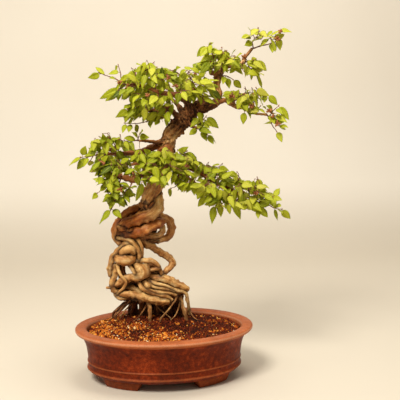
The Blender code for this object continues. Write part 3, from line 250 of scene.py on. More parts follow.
# Dark roots that go down into the soil behind the others, and thin strands that lie on it
BACK_ROOTS = (
    ((-62, 158, 62, 7), (-61, 146, 64, 7), (-58, 132, 66, 6.5)),
    ((-40, 156, 60, 8), (-40, 146, 62, 8), (-37, 132, 62, 7.5)),
    ((-20, 158, 62, 8), (-18, 146, 64, 8), (-12, 132, 66, 7.5)),
    ((-4, 158, 58, 8), (-3, 146, 60, 8), (1, 133, 62, 7)),
    ((18, 164, 56, 7), (20, 150, 60, 6.5), (20, 134, 62, 6)),
    ((30, 168, 46, 6), (32, 152, 52, 5.5), (34, 136, 56, 5)),
)
STRANDS = (
    ((-68, 154, 30, 2.2), (-80, 143, 28, 1.8), (-92, 131, 22, 1.5), (-103, 121, 12, 1.2),
     (-112, 112, 2, 0.8)),
    ((-62, 152, 30, 2.0), (-74, 140, 26, 1.7), (-84, 129, 20, 1.4), (-89, 118, 8, 1.0)),
    ((-18, 144, 26, 1.4), (-8, 134, 22, 1.3), (3, 125, 18, 1.1), (12, 118, 12, 0.8)),
    ((46, 140, 34, 1.8), (52, 128, 32, 1.5), (58, 119, 26, 1.1), (66, 113, 18, 0.7)),
    ((-36, 146, 24, 1.6), (-44, 132, 20, 1.4), (-52, 121, 12, 1.1), (-62, 113, 4, 0.8)),
    ((30, 150, 30, 1.5), (26, 134, 28, 1.3), (20, 122, 20, 1.0), (12, 114, 8, 0.7)),
)

# Where the eye sees each pad of leaves between its outermost ones: across and height
PADS = {
    "upper_left": (4, None, (
        (-81, 590), (-67, 594), (-50, 607), (-33, 615), (-10, 610), (1, 601), (22, 602), (30, 594),
        (44, 600), (63, 596), (83, 590), (94, 582), (103, 557), (86, 548), (60, 554), (35, 545), (18, 548),
        (15, 520), (0, 512), (-22, 514), (-45, 520), (-59, 517), (-76, 523), (-70, 540),
        (-53, 551), (-73, 562), (-106, 562), (-87, 576))),
    "crown": (2, None, (
        (75, 646), (91, 653), (111, 638), (131, 633), (143, 621), (157, 616), (171, 622),
        (185, 622), (188, 602), (174, 602), (151, 610), (126, 610), (103, 613), (75, 610),
        (66, 616), (80, 627))),
    "right": (2, None, (
        (120, 565), (132, 571), (146, 562), (169, 570), (196, 567), (198, 552), (180, 546),
        (186, 528), (170, 524), (152, 534), (134, 540))),
    "lower_left": (4, None, (
        (-139, 464), (-125, 475), (-96, 475), (-82, 466), (-63, 461), (-60, 443), (-83, 444),
        (-63, 432), (-83, 415), (-103, 409), (-126, 409), (-134, 424), (-131, 444), (-145, 447))),
    "front": (4, None, (
        (-60, 441), (-34, 446), (0, 446), (29, 443), (54, 435), (63, 420), (54, 409), (17, 409),
        (0, 389), (-17, 397), (-40, 389), (-58, 395), (-75, 409), (-98, 395), (-112, 404),
        (-117, 415), (-83, 415), (-63, 429))),
    "left_hanging": (3, None, (
        (-129, 398), (-109, 395), (-89, 395), (-66, 383), (-64, 366), (-81, 351), (-95, 357),
        (-104, 346), (-112, 360), (-101, 375), (-120, 383))),
    "lower_right": (4, None, (
        (72, 420), (103, 417), (127, 408), (144, 397), (164, 388), (191, 385), (208, 373),
        (220, 361), (217, 347), (200, 347), (185, 338), (162, 350), (144, 341), (127, 347),
        (109, 339), (92, 348), (75, 365), (63, 380), (46, 377), (28, 383), (17, 400), (43, 403),
        (63, 409))),
    "trunk_right": (3, None, (
        (66, 517), (86, 514), (92, 500), (80, 489), (63, 492), (52, 500))),
    "right_tip": (1, None, (
        (196, 534), (212, 532), (232, 520), (240, 508), (228, 500), (214, 512), (200, 522))),
    "crown_tip": (1, None, (
        (150, 672), (160, 690), (176, 690), (190, 680), (206, 672), (222, 676), (236, 684),
        (232, 660), (212, 655), (196, 660), (180, 664), (166, 664))),
    "before_trunk": (3, -54, (
        (-28, 444), (-8, 449), (18, 446), (38, 436), (38, 412), (14, 412), (-12, 412), (-30, 416))),
}
# Clusters of red-brown bud scales, where the eye sees them
BUD_CLUSTERS = (
    (-6, 421), (6, 422), (18, 421), (93, 380), (118, 402), (180, 369), (-98, 408), (-86, 406),
    (-104, 455), (-95, 446), (-84, 586), (-66, 577), (156, 633), (115, 634), (220, 668), (228, 682),
    (22, 578), (36, 560), (206, 530), (214, 518), (222, 506), (-58, 405), (-86, 379), (10, 592),
    (-30, 560), (46, 424), (150, 372), (-118, 432), (60, 600), (-20, 432), (170, 540), (134, 560),
)

# Each limb is a route of points: across, height, depth behind the pot's middle, radius.
# Across and height are where the eye sees the point against the pot's middle plane.
TRUNK = (
    ((-48, 331, 30, 6), (-38, 338, 20, 8), (-35, 348, 20, 13), (-28, 365, 20, 15), (-16, 385, 20, 15.5),
     (-6, 405, 20, 15), (2, 430, 20, 14.5), (7, 455, 20, 13.5), (8, 470, 20, 13.5),
     (13, 485, 20, 15), (27, 501, 20, 16), (40, 515, 20, 16), (52, 528, 20, 15),
     (64, 536, 19, 13), (78, 537, 18, 11), (91, 541, 16, 9), (100, 546, 15, 8), (109, 553, 14, 7)),
)
UPPER_ROOTS = (
    ((-14, 380, 26, 8), (-12, 362, 22, 9.5), (-14, 345, 17, 12.5), (-21, 333, 12, 13.5),
     (-36, 325, 9, 13), (-55, 318, 9, 12), (-70, 313, 12, 11), (-82, 306, 20, 10),
     (-90, 296, 32, 8), (-92, 284, 40, 7)),
    ((-42, 344, 30, 8), (-60, 338, 30, 8.5), (-75, 329, 30, 8.5), (-87, 314, 28, 8.5),
     (-95, 302, 24, 8), (-97, 289, 22, 7), (-94, 277, 18, 6), (-86, 268, 15, 5.5),
     (-76, 266, 14, 5)),
    ((-3, 314, 28, 7), (-11, 311, 22, 10), (-27, 304, 15, 11), (-44, 297, 12, 12),
     (-62, 292, 12, 12), (-78, 291, 16, 11), (-90, 290, 24, 8)),
    ((-20, 303, 32, 5), (-8, 304, 32, 5.5), (-4, 296, 32, 6), (-10, 288, 32, 6),
     (-28, 286, 28, 6), (-46, 283, 24, 6)),
    ((-18, 330, 38, 7), (-4, 323, 48, 7.5), (7, 317, 54, 7.5), (13, 307, 58, 7.5),
     (13.5, 295, 58, 7.5), (8, 284, 56, 7.5), (-3, 279, 52, 7), (-19, 277, 46, 7.5),
     (-36, 278, 40, 8), (-54, 284, 34, 9)),
    ((-52, 284, 34, 8), (-42, 275, 36, 8), (-29, 266, 40, 7.5), (-14, 256, 46, 7), (0, 247, 52, 7),
     (10, 240, 56, 7), (15, 232, 57, 7), (12, 223, 54, 6.5), (5, 216, 50, 6),
     (-2, 209, 42, 5.5), (-12, 203, 36, 5)),
    ((-50, 305, 44, 10), (-58, 285, 46, 10), (-62, 262, 50, 9), (-58, 238, 52, 8),
     (-52, 212, 52, 8), (-48, 185, 50, 8), (-46, 158, 46, 9)),
)
MIDDLE_ROOTS = (
    ((-107, 206, 22, 4.5), (-107, 218, 20, 6.5), (-105, 233, 18, 6), (-98, 248, 15, 5.5),
     (-86, 262, 12, 5.5), (-73, 270, 10, 5.5), (-62, 270, 10, 5.5), (-54, 262, 12, 5),
     (-50, 250, 14, 4.5), (-54, 236, 18, 5)),
    ((-91, 282, 16, 5), (-79, 281, 10, 5), (-66, 275, 7, 5), (-56, 263, 6, 4.5),
     (-50, 249, 9, 4.5), (-50, 237, 13, 4.5)),
    ((-58, 282, 14, 4), (-50, 275, 11, 3.6), (-45, 263, 11, 3.4), (-44, 250, 14, 3.4),
     (-46, 238, 16, 3.4)),
    ((-86, 247, 10, 5.5), (-79, 256, 6, 8), (-68, 259, 5, 8.5), (-60, 253, 9, 6.5)),
    ((-96, 245, 16, 6.5), (-89, 240, 10, 10), (-78, 237, 8, 11.5), (-67, 239, 11, 10),
     (-61, 245, 14, 7)),
    ((-100, 228, 20, 6), (-98, 210, 20, 6), (-104, 193, 20, 6), (-101, 179, 20, 6.5),
     (-92, 168, 18, 6)),
    ((-102, 186, 20, 5), (-109, 182, 18, 3), (-115, 182, 17, 2)),
    ((-93, 228, 12, 3.2), (-90, 213, 8, 3), (-84, 203, 6, 2.8), (-77, 193, 6, 2.8),
     (-81, 182, 8, 2.8), (-90, 173, 10, 2.8), (-96, 165, 14, 2.8)),
    ((-66, 240, 22, 6), (-60, 231, 19, 8), (-51, 222, 15, 11), (-44, 213, 12, 13.5),
     (-53, 204, 14, 10.5), (-66, 202, 16, 8.5), (-79, 198, 18, 8), (-91, 190, 20, 7),
     (-101, 183, 22, 6)),
    ((-76, 233, 12, 4), (-68, 224, 10, 4.2), (-60, 213, 9, 4), (-54, 204, 9, 4)),
    ((-66, 234, 18, 5), (-50, 236, 13, 5.5), (-34, 236, 12, 5.5), (-21, 233, 13, 5.5),
     (-13, 226, 14, 4), (-8, 217, 18, 3.5), (-6, 206, 24, 3.5)),
    ((-36, 215, 14, 4), (-21, 218, 14, 4), (-9, 221, 15, 3.5)),
)
LOWER_ROOTS = (
    ((-38, 196, 34, 6), (-27, 201, 28, 7.5), (-12, 201, 26, 8), (5, 197, 24, 8),
     (20, 190, 24, 7.5), (35, 182, 25, 7), (45, 177, 27, 6)),
    ((-30, 195, 20, 4), (-18, 189, 16, 4), (-6, 186, 15, 3.8), (8, 181, 16, 3.8),
     (22, 175, 18, 3.8), (37, 171, 21, 3.8), (44, 164, 24, 3.6), (46, 153, 28, 3.5),
     (48, 140, 33, 3.5), (49, 126, 38, 3.5)),
    ((-52, 196, 18, 4), (-44, 181, 12, 4.5), (-30, 171, 10, 4.5), (-12, 165, 10, 4.5),
     (5, 162, 12, 4.3), (13, 155, 18, 4)),
    ((-42, 192, 16, 3.4), (-33, 178, 10, 3.4), (-15, 171, 10, 3.6), (6, 170, 12, 3.4),
     (22, 165, 18, 3.2)),
    ((-33, 197, 20, 3.2), (-27, 185, 13, 3.2), (-15, 180, 12, 3.2), (5, 177, 14, 3.2),
     (20, 172, 18, 2.8)),
    ((-39, 192, 16, 4.5), (-35, 185, 12, 6.5), (-31, 178, 14, 4)),
    ((-97, 174, 26, 5), (-88, 168, 15, 5.5), (-73, 168, 9, 6), (-57, 166, 7, 6.5),
     (-40, 160, 7, 7.5), (-22, 156, 8, 8), (-6, 153, 10, 7.5), (6, 152, 13, 6)),
    ((-99, 176, 26, 4), (-97, 166, 16, 4), (-88, 159, 12, 4), (-78, 161, 14, 4)),
    ((-92, 190, 34, 6), (-72, 184, 32, 6), (-50, 173, 28, 6), (-34, 162, 30, 6)),
    ((-88, 166, 34, 7), (-62, 160, 42, 11), (-32, 158, 46, 12), (-2, 162, 44, 10.5),
     (22, 168, 36, 8), (36, 172, 28, 5)),
)
# Roots that go down into the soil: the last point is carried straight on to ROOT_END
SOIL_ROOTS = (
    ((-66, 156, 36, 4.4), (-77, 147, 38, 3.4), (-89, 135, 38, 2.8), (-98, 126, 36, 2.4)),
    ((-64, 157, 50, 5), (-80, 148, 54, 4), (-93, 138, 52, 3), (-103, 130, 48, 2.6)),
    ((-58, 155, 34, 5.5), (-62, 142, 44, 5), (-66, 131, 54, 4.5)),
    ((-45, 153, 34, 6), (-46, 141, 40, 5.5), (-48, 130, 46, 5)),
    ((-32, 154, 14, 4), (-29, 137, 12, 4), (-30, 118, 10, 3.6)),
    ((26, 171, 22, 1.9), (22, 156, 18, 1.7), (14, 143, 14, 1.6), (1, 127, 10, 1.6), (-9, 117, 6, 1.6)),
    ((28, 168, 34, 4.2), (32, 153, 33, 4), (37, 138, 31, 3.7), (42, 121, 29, 3.6)),
    ((8, 162, 44, 6.5), (9, 147, 50, 6), (10, 134, 56, 5)),
    ((-14, 156, 40, 7), (-15, 141, 46, 6.5), (-16, 130, 50, 5.5)),
    ((22, 168, 40, 5), (25, 150, 50, 4.5), (27, 136, 58, 4)),
    ((-60, 160, 50, 6), (-66, 148, 66, 5), (-70, 140, 80, 4.5)),
    ((-28, 158, 54, 7), (-26, 147, 68, 6), (-24, 138, 82, 5)),
)
BRANCHES = (
    ((104, 549, 14, 7), (107, 565, 14, 6.5), (103, 580, 14, 6), (105, 592, 14, 7), (106, 600, 14, 9),
     (111, 608, 14, 5.5), (124, 616, 14, 4), (143, 616, 12, 3.7), (153, 622, 12, 4.5),
     (159, 633, 12, 3), (172, 650, 12, 2.6)),
    ((106, 600, 14, 8), (97, 603, 12, 5), (89, 604, 10, 3.5)),
    ((98, 546, 15, 6), (119, 551, 12, 5.2), (132, 544, 8, 4.6), (145, 537, 4, 4.2),
     (158, 536, 2, 4), (168, 529, 0, 3.4), (181, 524, -2, 2.6), (201, 523, -4, 2.4)),
    ((-4, 466, 24, 9), (-20, 460, 28, 7), (-38, 454, 34, 6), (-62, 449, 42, 5), (-86, 447, 46, 4),
     (-110, 447, 46, 3)),
    ((4, 472, 18, 7), (-14, 470, 12, 4.5), (-30, 472, 8, 3.2), (-48, 473, 6, 2.6)),
    ((-10, 450, 10, 5), (-2, 456, 4, 5.5), (8, 456, 2, 5.5), (16, 449, 6, 5.5)),
    ((2, 440, 12, 9), (4, 430, -10, 8), (3, 421, -28, 8), (6, 419, -42, 7.5), (14, 419, -50, 5.5)),
    ((2, 426, -14, 5), (-14, 415, -26, 4.5), (-28, 409, -34, 4), (-38, 408, -38, 4.5)),
    ((10, 424, -30, 4), (22, 415, -36, 3.4), (42, 402, -38, 3), (60, 392, -38, 2.6)),
    ((8, 436, 20, 8), (26, 430, 18, 6), (46, 422, 14, 5), (70, 409, 10, 4.6), (96, 394, 6, 4.2),
     (122, 380, 3, 3.7), (150, 367, 0, 3.3), (180, 357, -2, 2.7)),
    ((-4, 436, 14, 8), (-22, 425, 2, 6), (-42, 408, -8, 5.5), (-58, 396, -15, 5.5),
     (-70, 399, -20, 5.5), (-84, 402, -24, 4.2), (-96, 402, -26, 3.2), (-105, 398, -28, 2.8)),
    ((50, 530, 14, 8), (45, 548, 4, 7.5), (37, 556, -2, 6.5), (25, 561, -8, 6), (12, 562, -12, 5),
     (-10, 567, -11, 4), (-32, 576, -9, 3.4), (-50, 581, -9, 3.2), (-64, 580, -10, 2.8)),
    ((30, 516, 14, 7), (20, 528, 6, 4.6), (11, 534, 0, 4.4), (-3, 533, -4, 4), (-22, 531, -7, 3.6),
     (-42, 532, -9, 3)),
    ((72, 538, 26, 6), (70, 556, 34, 4.6), (58, 572, 40, 3.6), (44, 586, 42, 2.8)),
    ((74, 542, 10, 6), (72, 558, -6, 4.4), (66, 568, -18, 3.4), (56, 580, -26, 2.6)),
    ((44, 510, 14, 7), (56, 501, 6, 4), (66, 497, 2, 2.8)),
    ((0, 442, 30, 8), (-16, 436, 54, 5), (-44, 430, 74, 3.6), (-68, 426, 88, 2.6)),
    ((8, 446, 30, 8), (28, 438, 54, 4.8), (52, 426, 70, 3.6), (78, 412, 82, 2.6)),
    ((40, 520, 32, 7), (28, 540, 54, 4.4), (12, 556, 70, 3.2), (-6, 566, 82, 2.5)),
    ((104, 590, 18, 6), (112, 604, 36, 4), (116, 614, 52, 3), (112, 622, 64, 2.4)),
)

# Each spray: its stems, the first one springing from a limb and the others from an earlier
# stem, and its leaves, each from where its root is seen to where its tip is seen.
SPRAYS = {
    "crown_tip": (
        (((172, 650, 12), (190, 655, 12), (205, 659, 11), (218, 665, 10), (224, 681, 8)),
         ((173, 652, 12), (172, 662, 8), (176, 670, 4), (170, 680, 2))),
        ((226, 685, 249, 681), (223, 671, 228, 647), (211, 663, 209, 645), (207, 675, 224, 684),
         (210, 679, 197, 681), (206, 671, 192, 662), (174, 677, 187, 686), (171, 681, 165, 692),
         (168, 672, 149, 671), (170, 664, 157, 659), (181, 668, 192, 673)),
    ),
    "crown_right": (
        (((156, 626, 12), (166, 624, 4), (178, 629, -2)),
         ((163, 625, 6), (166, 614, 2), (178, 606, -2))),
        ((178, 631, 201, 608), (170, 623, 188, 606), (178, 606, 198, 576), (170, 611, 173, 589),
         (162, 618, 160, 598), (168, 627, 176, 636)),
    ),
    "crown_left": (
        (((106, 606, 8), (97, 614, 2), (97, 629, -2), (93, 641, -4), (86, 651, -6)),
         ((97, 612, 3), (84, 608, -4), (70, 602, -8))),
        ((82, 653, 63, 635), (88, 652, 94, 663), (92, 648, 109, 645), (87, 644, 78, 627),
         (94, 636, 66, 614), (96, 630, 84, 616), (88, 609, 62, 622), (72, 603, 52, 614),
         (80, 607, 67, 594)),
    ),
    "crown_front": (
        (((112, 608, 10), (113, 622, -4), (114, 634, -12), (110, 645, -16)),
         ((113, 618, 0), (120, 620, -10), (125, 628, -16))),
        ((110, 647, 131, 629), (113, 634, 96, 641), (112, 624, 124, 602), (110, 618, 94, 606),
         (118, 626, 134, 618), (124, 630, 112, 634), (112, 640, 100, 651)),
    ),
    "crown_middle": (
        (((134, 616, 13), (132, 624, 2), (138, 632, -6)),
         ((134, 620, 8), (144, 618, 0))),
        ((134, 622, 157, 603), (141, 617, 127, 603), (138, 632, 152, 642), (134, 630, 120, 640),
         (130, 624, 116, 628)),
    ),
    "crown_under": (
        (((111, 597, 12), (122, 597, 6), (134, 591, 2)),),
        ((134, 590, 151, 574), (124, 595, 126, 573), (120, 596, 114, 584)),
    ),
    "crown_back": (
        (((112, 622, 64), (104, 630, 78), (94, 636, 88)),
         ((112, 624, 66), (124, 632, 76), (136, 636, 82))),
        ((94, 636, 76, 632), (98, 633, 100, 650), (136, 636, 150, 624), (126, 632, 120, 648),
         (108, 627, 112, 608), (130, 634, 138, 650)),
    ),
    "right_upper": (
        (((138, 541, 6), (137, 552, 0), (133, 562, -4)),
         ((137, 549, 2), (146, 556, -4), (158, 566, -8))),
        ((133, 563, 112, 561), (135, 560, 131, 544), (158, 567, 142, 552), (152, 560, 163, 540),
         (138, 556, 148, 570), (156, 565, 168, 573)),
    ),
    "right_middle": (
        (((172, 528, 0), (175, 540, -4), (177, 551, -7), (186, 560, -9), (200, 561, -10)),
         ((173, 533, -2), (182, 534, -8), (188, 539, -12))),
        ((205, 560, 223, 541), (198, 564, 194, 552), (179, 567, 163, 542), (186, 561, 199, 571),
         (188, 540, 167, 525), (184, 536, 197, 529)),
    ),
    "right_under": (
        (((163, 533, 2), (160, 531, -8), (158, 530, -14)),),
        ((157, 530, 152, 504), (160, 532, 148, 540), (161, 531, 172, 518)),
    ),
    "right_tip": (
        (((201, 523, -4), (209, 514, -5), (212, 503, -6), (221, 491, -6)),
         ((208, 516, -5), (215, 508, -9), (224, 502, -12)),
         ((206, 519, -4), (213, 530, -7), (224, 540, -8))),
        ((224, 541, 248, 514), (218, 535, 234, 526), (213, 511, 236, 509), (223, 490, 235, 470),
         (224, 502, 243, 501), (226, 500, 241, 492), (210, 505, 194, 507), (202, 530, 196, 542),
         (214, 530, 204, 540)),
    ),
    "trunk_right": (
        (((66, 497, 2), (72, 508, -2), (82, 519, -4)),
         ((70, 505, -1), (75, 494, -4), (85, 485, -6))),
        ((83, 520, 110, 498), (72, 509, 57, 517), (75, 510, 89, 498), (74, 490, 84, 473),
         (85, 485, 97, 466), (87, 484, 105, 470), (68, 496, 52, 484), (78, 514, 70, 526)),
    ),
    "upper_left_tip": (
        (((-64, 580, -10), (-80, 583, -12), (-92, 592, -12), (-108, 597, -12), (-122, 602, -12)),
         ((-80, 583, -12), (-82, 600, -12), (-86, 616, -12))),
        ((-110, 600, -129, 616), (-120, 600, -144, 590), (-84, 604, -107, 602), (-90, 592, -103, 596),
         (-85, 618, -95, 608), (-124, 603, -138, 604), (-72, 582, -78, 598)),
    ),
    "upper_left_low": (
        (((-58, 579, -11), (-70, 573, -15), (-84, 569, -18)),
         ((-63, 577, -12), (-64, 569, -20), (-62, 563, -26))),
        ((-86, 573, -124, 552), (-86, 569, -114, 550), (-84, 568, -88, 549), (-67, 570, -81, 552),
         (-62, 563, -60, 537), (-62, 566, -47, 555)),
    ),
    "upper_left_top": (
        (((-46, 581, -9), (-42, 596, -8), (-34, 609, -8), (-38, 616, -10)),
         ((-44, 588, -9), (-54, 593, -14), (-60, 596, -18)),
         ((-36, 606, -8), (-26, 612, -12), (-14, 614, -14))),
        ((-36, 613, -56, 606), (-33, 616, -13, 612), (-14, 614, 5, 590), (-30, 607, -3, 593),
         (-58, 596, -78, 597), (-45, 586, -50, 556), (-38, 616, -50, 622), (-50, 592, -62, 604)),
    ),
    "upper_middle": (
        (((-16, 569, -11), (-14, 580, -18), (-2, 590, -22), (10, 594, -24)),),
        ((-15, 588, -41, 571), (0, 586, -6, 560), (8, 594, 22, 584), (-3, 590, -20, 602),
         (-14, 578, 2, 572), (10, 594, 4, 610)),
    ),
    "upper_front": (
        (((56, 580, -26), (46, 590, -30), (34, 597, -34), (22, 600, -36)),
         ((50, 586, -28), (64, 584, -32), (74, 585, -34), (84, 590, -36))),
        ((45, 592, 69, 573), (84, 590, 108, 588), (78, 582, 109, 545), (36, 596, 20, 583),
         (24, 600, 6, 604), (30, 598, 40, 612), (74, 584, 62, 597), (70, 580, 72, 562)),
    ),
    "upper_face": (
        (((70, 560, -8), (64, 563, -22), (60, 566, -32)),),
        ((60, 565, 57, 546), (66, 563, 76, 543), (60, 566, 44, 558), (64, 565, 80, 560)),
    ),
    "upper_top": (
        (((44, 586, 42), (32, 600, 34), (14, 608, 28)),
         ((38, 594, 38), (50, 606, 34), (64, 612, 32))),
        ((14, 608, -4, 611), (22, 606, 30, 617), (28, 603, 12, 596), (64, 612, 82, 604),
         (52, 607, 40, 618), (58, 610, 66, 624)),
    ),
    "upper_back": (
        (((-6, 566, 82), (-22, 572, 92), (-40, 574, 98)),
         ((-12, 568, 86), (-8, 582, 94), (6, 592, 98))),
        ((-40, 574, -60, 566), (-30, 573, -36, 590), (6, 592, 24, 586), (-4, 586, -18, 594),
         (-22, 572, -20, 552), (0, 588, 8, 604)),
    ),
    "lower_left": (
        (((-42, 532, -9), (-56, 534, -12), (-68, 534, -16)),
         ((-54, 534, -12), (-44, 542, -18), (-32, 547, -22))),
        ((-68, 533, -92, 514), (-66, 531, -77, 507), (-40, 548, -60, 538), (-33, 545, -50, 522),
         (-62, 535, -74, 545), (-32, 547, -16, 540)),
    ),
    "lower_left_twig": (
        (((26, 509, 10), (4, 517, 4), (-18, 517, 2), (-36, 509, 2), (-52, 506, 2), (-74, 507, 0)),),
        ((-73, 508, -80, 488), (-64, 506, -68, 490), (-55, 506, -50, 488), (-24, 515, -28, 498),
         (-8, 518, -17, 502), (-70, 508, -58, 517)),
    ),
    "lower_middle": (
        (((2, 533, -4), (5, 540, -14), (-4, 548, -20), (-14, 553, -24)),
         ((4, 538, -12), (10, 531, -18), (9, 524, -22))),
        ((9, 524, 3, 500), (-14, 553, -32, 556), (-2, 547, 10, 560), (-6, 549, -18, 534),
         (6, 536, -10, 524), (10, 530, 22, 520)),
    ),
    "left_top": (
        (((-48, 473, 6), (-62, 473, 3), (-76, 472, 0), (-86, 476, -2)),
         ((-50, 473, 5), (-49, 481, 2), (-46, 486, 0))),
        ((-56, 477, -77, 477), (-46, 486, -40, 494), (-47, 481, -29, 478), (-86, 475, -73, 455),
         (-70, 472, -56, 454), (-50, 480, -60, 489), (-84, 476, -102, 478)),
    ),
    "left_ridge": (
        (((-86, 447, 42), (-92, 460, 34), (-100, 472, 26), (-106, 479, 22)),
         ((-98, 469, 28), (-112, 470, 22), (-124, 472, 18))),
        ((-104, 478, -80, 471), (-106, 479, -130, 458), (-124, 472, -147, 452), (-114, 471, -116, 486),
         (-94, 463, -104, 448), (-110, 470, -124, 482)),
    ),
    "left_tip": (
        (((-110, 447, 46), (-128, 446, 42), (-145, 442, 38), (-160, 441, 34)),
         ((-137, 444, 40), (-143, 434, 32))),
        ((-158, 445, -151, 462), (-160, 442, -188, 429), (-158, 441, -172, 431), (-150, 441, -169, 416),
         (-146, 441, -157, 422), (-140, 435, -141, 421), (-132, 445, -120, 434), (-140, 444, -146, 454)),
    ),
    "left_front": (
        (((-99, 402, -26), (-106, 413, -22), (-116, 424, -18), (-125, 435, -14)),
         ((-108, 415, -21), (-96, 424, -20), (-86, 428, -22))),
        ((-125, 437, -135, 413), (-122, 430, -110, 442), (-120, 425, -146, 412), (-114, 420, -136, 405),
         (-106, 414, -120, 404), (-86, 428, -70, 440), (-92, 426, -102, 438), (-100, 420, -88, 410)),
    ),
    "left_under": (
        (((-105, 398, -28), (-114, 402, -31), (-118, 400, -34)),
         ((-108, 399, -29), (-112, 391, -31), (-120, 379, -32), (-130, 371, -33))),
        ((-116, 403, -134, 396), (-114, 390, -125, 374), (-129, 371, -141, 359), (-118, 400, -126, 388),
         (-110, 394, -100, 380)),
    ),
    "left_hanging": (
        (((-84, 402, -28), (-88, 386, -30), (-91, 373, -30), (-96, 358, -30), (-100, 345, -30),
          (-110, 328, -30)),
         ((-91, 374, -30), (-102, 367, -32))),
        ((-84, 396, -102, 378), (-90, 363, -76, 343), (-101, 366, -116, 363), (-102, 365, -120, 352),
         (-98, 357, -110, 340), (-104, 339, -130, 311), (-100, 338, -84, 321), (-90, 372, -76, 382)),
    ),
    "left_inner": (
        (((-62, 393, -19), (-66, 383, -22), (-76, 373, -24), (-79, 364, -24)),),
        ((-65, 382, -72, 357), (-78, 366, -86, 352), (-68, 380, -54, 386)),
    ),
    "front_left": (
        (((-38, 408, -42), (-42, 400, -48), (-43, 393, -54)),
         ((-40, 404, -45), (-52, 410, -52), (-62, 416, -56))),
        ((-43, 392, -50, 352), (-42, 397, -30, 384), (-62, 416, -76, 408), (-56, 413, -50, 428),
         (-48, 408, -60, 398)),
    ),
    "front_top": (
        (((-12, 431, 5), (-20, 440, -16), (-34, 446, -26), (-48, 448, -32)),
         ((-16, 436, -11), (-6, 444, -24), (6, 448, -32))),
        ((-50, 448, -70, 434), (-30, 446, -58, 436), (-24, 444, -36, 458), (6, 448, 26, 444),
         (-4, 445, -18, 430), (-36, 447, -26, 430), (2, 447, 6, 430)),
    ),
    "front_low": (
        (((3, 413, -38), (0, 409, -54), (-2, 406, -64)),),
        ((-4, 408, -26, 390), (2, 407, 0, 378), (-2, 406, -14, 382), (2, 408, 15, 395)),
    ),
    "front_face": (
        (((14, 419, -50), (15, 427, -60), (18, 434, -66)),),
        ((18, 434, 34, 440), (15, 430, 0, 438), (16, 427, 30, 416)),
    ),
    "front_right": (
        (((60, 392, -38), (68, 386, -40), (78, 382, -42)),
         ((64, 389, -39), (56, 396, -48), (46, 402, -54))),
        ((56, 392, 58, 364), (78, 382, 64, 357), (48, 401, 34, 388), (70, 386, 84, 396),
         (52, 398, 62, 410), (78, 382, 90, 370)),
    ),
    "front_under": (
        (((28, 410, -40), (28, 396, -42), (24, 384, -42), (15, 380, -42)),),
        ((28, 400, 35, 370), (26, 402, 18, 386), (14, 380, 6, 362), (24, 384, 34, 396)),
    ),
    "right_shoulder": (
        (((26, 435, 16), (32, 444, 6), (44, 452, 0)),
         ((36, 447, 4), (47, 441, -6), (57, 434, -12))),
        ((34, 446, 66, 440), (46, 451, 70, 430), (30, 450, 48, 460), (56, 433, 66, 420),
         (48, 432, 38, 418), (57, 434, 70, 426), (40, 450, 28, 456)),
    ),
    "low_right_top": (
        (((70, 413, 10), (76, 420, 16), (90, 422, 20), (106, 421, 22)),),
        ((82, 421, 69, 422), (106, 421, 128, 413), (92, 422, 110, 426), (88, 422, 80, 410),
         (76, 419, 92, 412)),
    ),
    "low_right_shoulder": (
        (((98, 397, 8), (104, 408, 4), (108, 416, 0)),),
        ((108, 416, 90, 408), (104, 408, 122, 402), (106, 412, 118, 420)),
    ),
    "low_right_ridge": (
        (((122, 384, 4), (126, 396, 0), (130, 407, -4)),),
        ((128, 410, 148, 402), (126, 403, 112, 412), (124, 396, 110, 402), (126, 398, 138, 392)),
    ),
    "low_right_slope": (
        (((150, 371, 0), (150, 382, -4), (146, 396, -8)),),
        ((148, 396, 162, 388), (150, 386, 166, 376), (150, 376, 164, 362), (146, 396, 136, 404)),
    ),
    "low_right_face": (
        (((88, 398, 7), (88, 388, -14), (88, 378, -26), (92, 368, -32)),
         ((88, 386, -17), (98, 382, -26), (106, 384, -30))),
        ((86, 387, 71, 365), (88, 368, 92, 340), (82, 362, 65, 343), (106, 384, 126, 376),
         (98, 380, 104, 362), (97, 343, 96, 306), (84, 392, 66, 398)),
    ),
    "low_right_front": (
        (((122, 377, 1), (117, 372, -14), (113, 362, -24), (112, 350, -28)),
         ((117, 370, -16), (126, 362, -22), (127, 350, -26))),
        ((112, 350, 109, 321), (114, 370, 130, 352), (126, 350, 128, 326), (113, 362, 100, 350),
         (127, 352, 140, 340)),
    ),
    "low_right_middle": (
        (((150, 363, -1), (145, 357, -12), (139, 351, -20)),),
        ((138, 350, 149, 315), (146, 358, 158, 340), (139, 352, 128, 364)),
    ),
    "low_right_lower": (
        (((168, 358, -3), (167, 352, -12), (164, 346, -18)),),
        ((166, 350, 172, 332), (170, 350, 184, 328), (163, 347, 150, 338)),
    ),
    "low_right_crest": (
        (((168, 364, 0), (167, 376, -5), (163, 385, -8)),),
        ((162, 386, 187, 388), (166, 378, 178, 368), (164, 384, 154, 394)),
    ),
    "low_right_peak": (
        (((178, 359, -2), (185, 370, -8), (190, 382, -12)),),
        ((190, 386, 208, 381), (188, 376, 178, 386), (190, 378, 203, 366)),
    ),
    "low_right_tip": (
        (((180, 357, -2), (198, 351, -4), (208, 345, -5), (218, 339, -7), (232, 337, -9)),
         ((200, 350, -4), (206, 358, -8), (216, 362, -12)),
         ((190, 354, -4), (187, 346, -10), (186, 338, -14))),
        ((232, 337, 251, 315), (217, 338, 227, 314), (217, 362, 231, 378), (214, 359, 232, 354),
         (184, 344, 204, 318), (186, 338, 187, 319), (220, 345, 230, 342), (226, 337, 234, 328),
         (208, 359, 196, 368)),
    ),
    "left_back": (
        (((-68, 426, 88), (-84, 430, 98), (-100, 428, 104)),
         ((-76, 428, 93), (-72, 416, 102), (-66, 408, 106)),
         ((-72, 427, 91), (-64, 438, 100))),
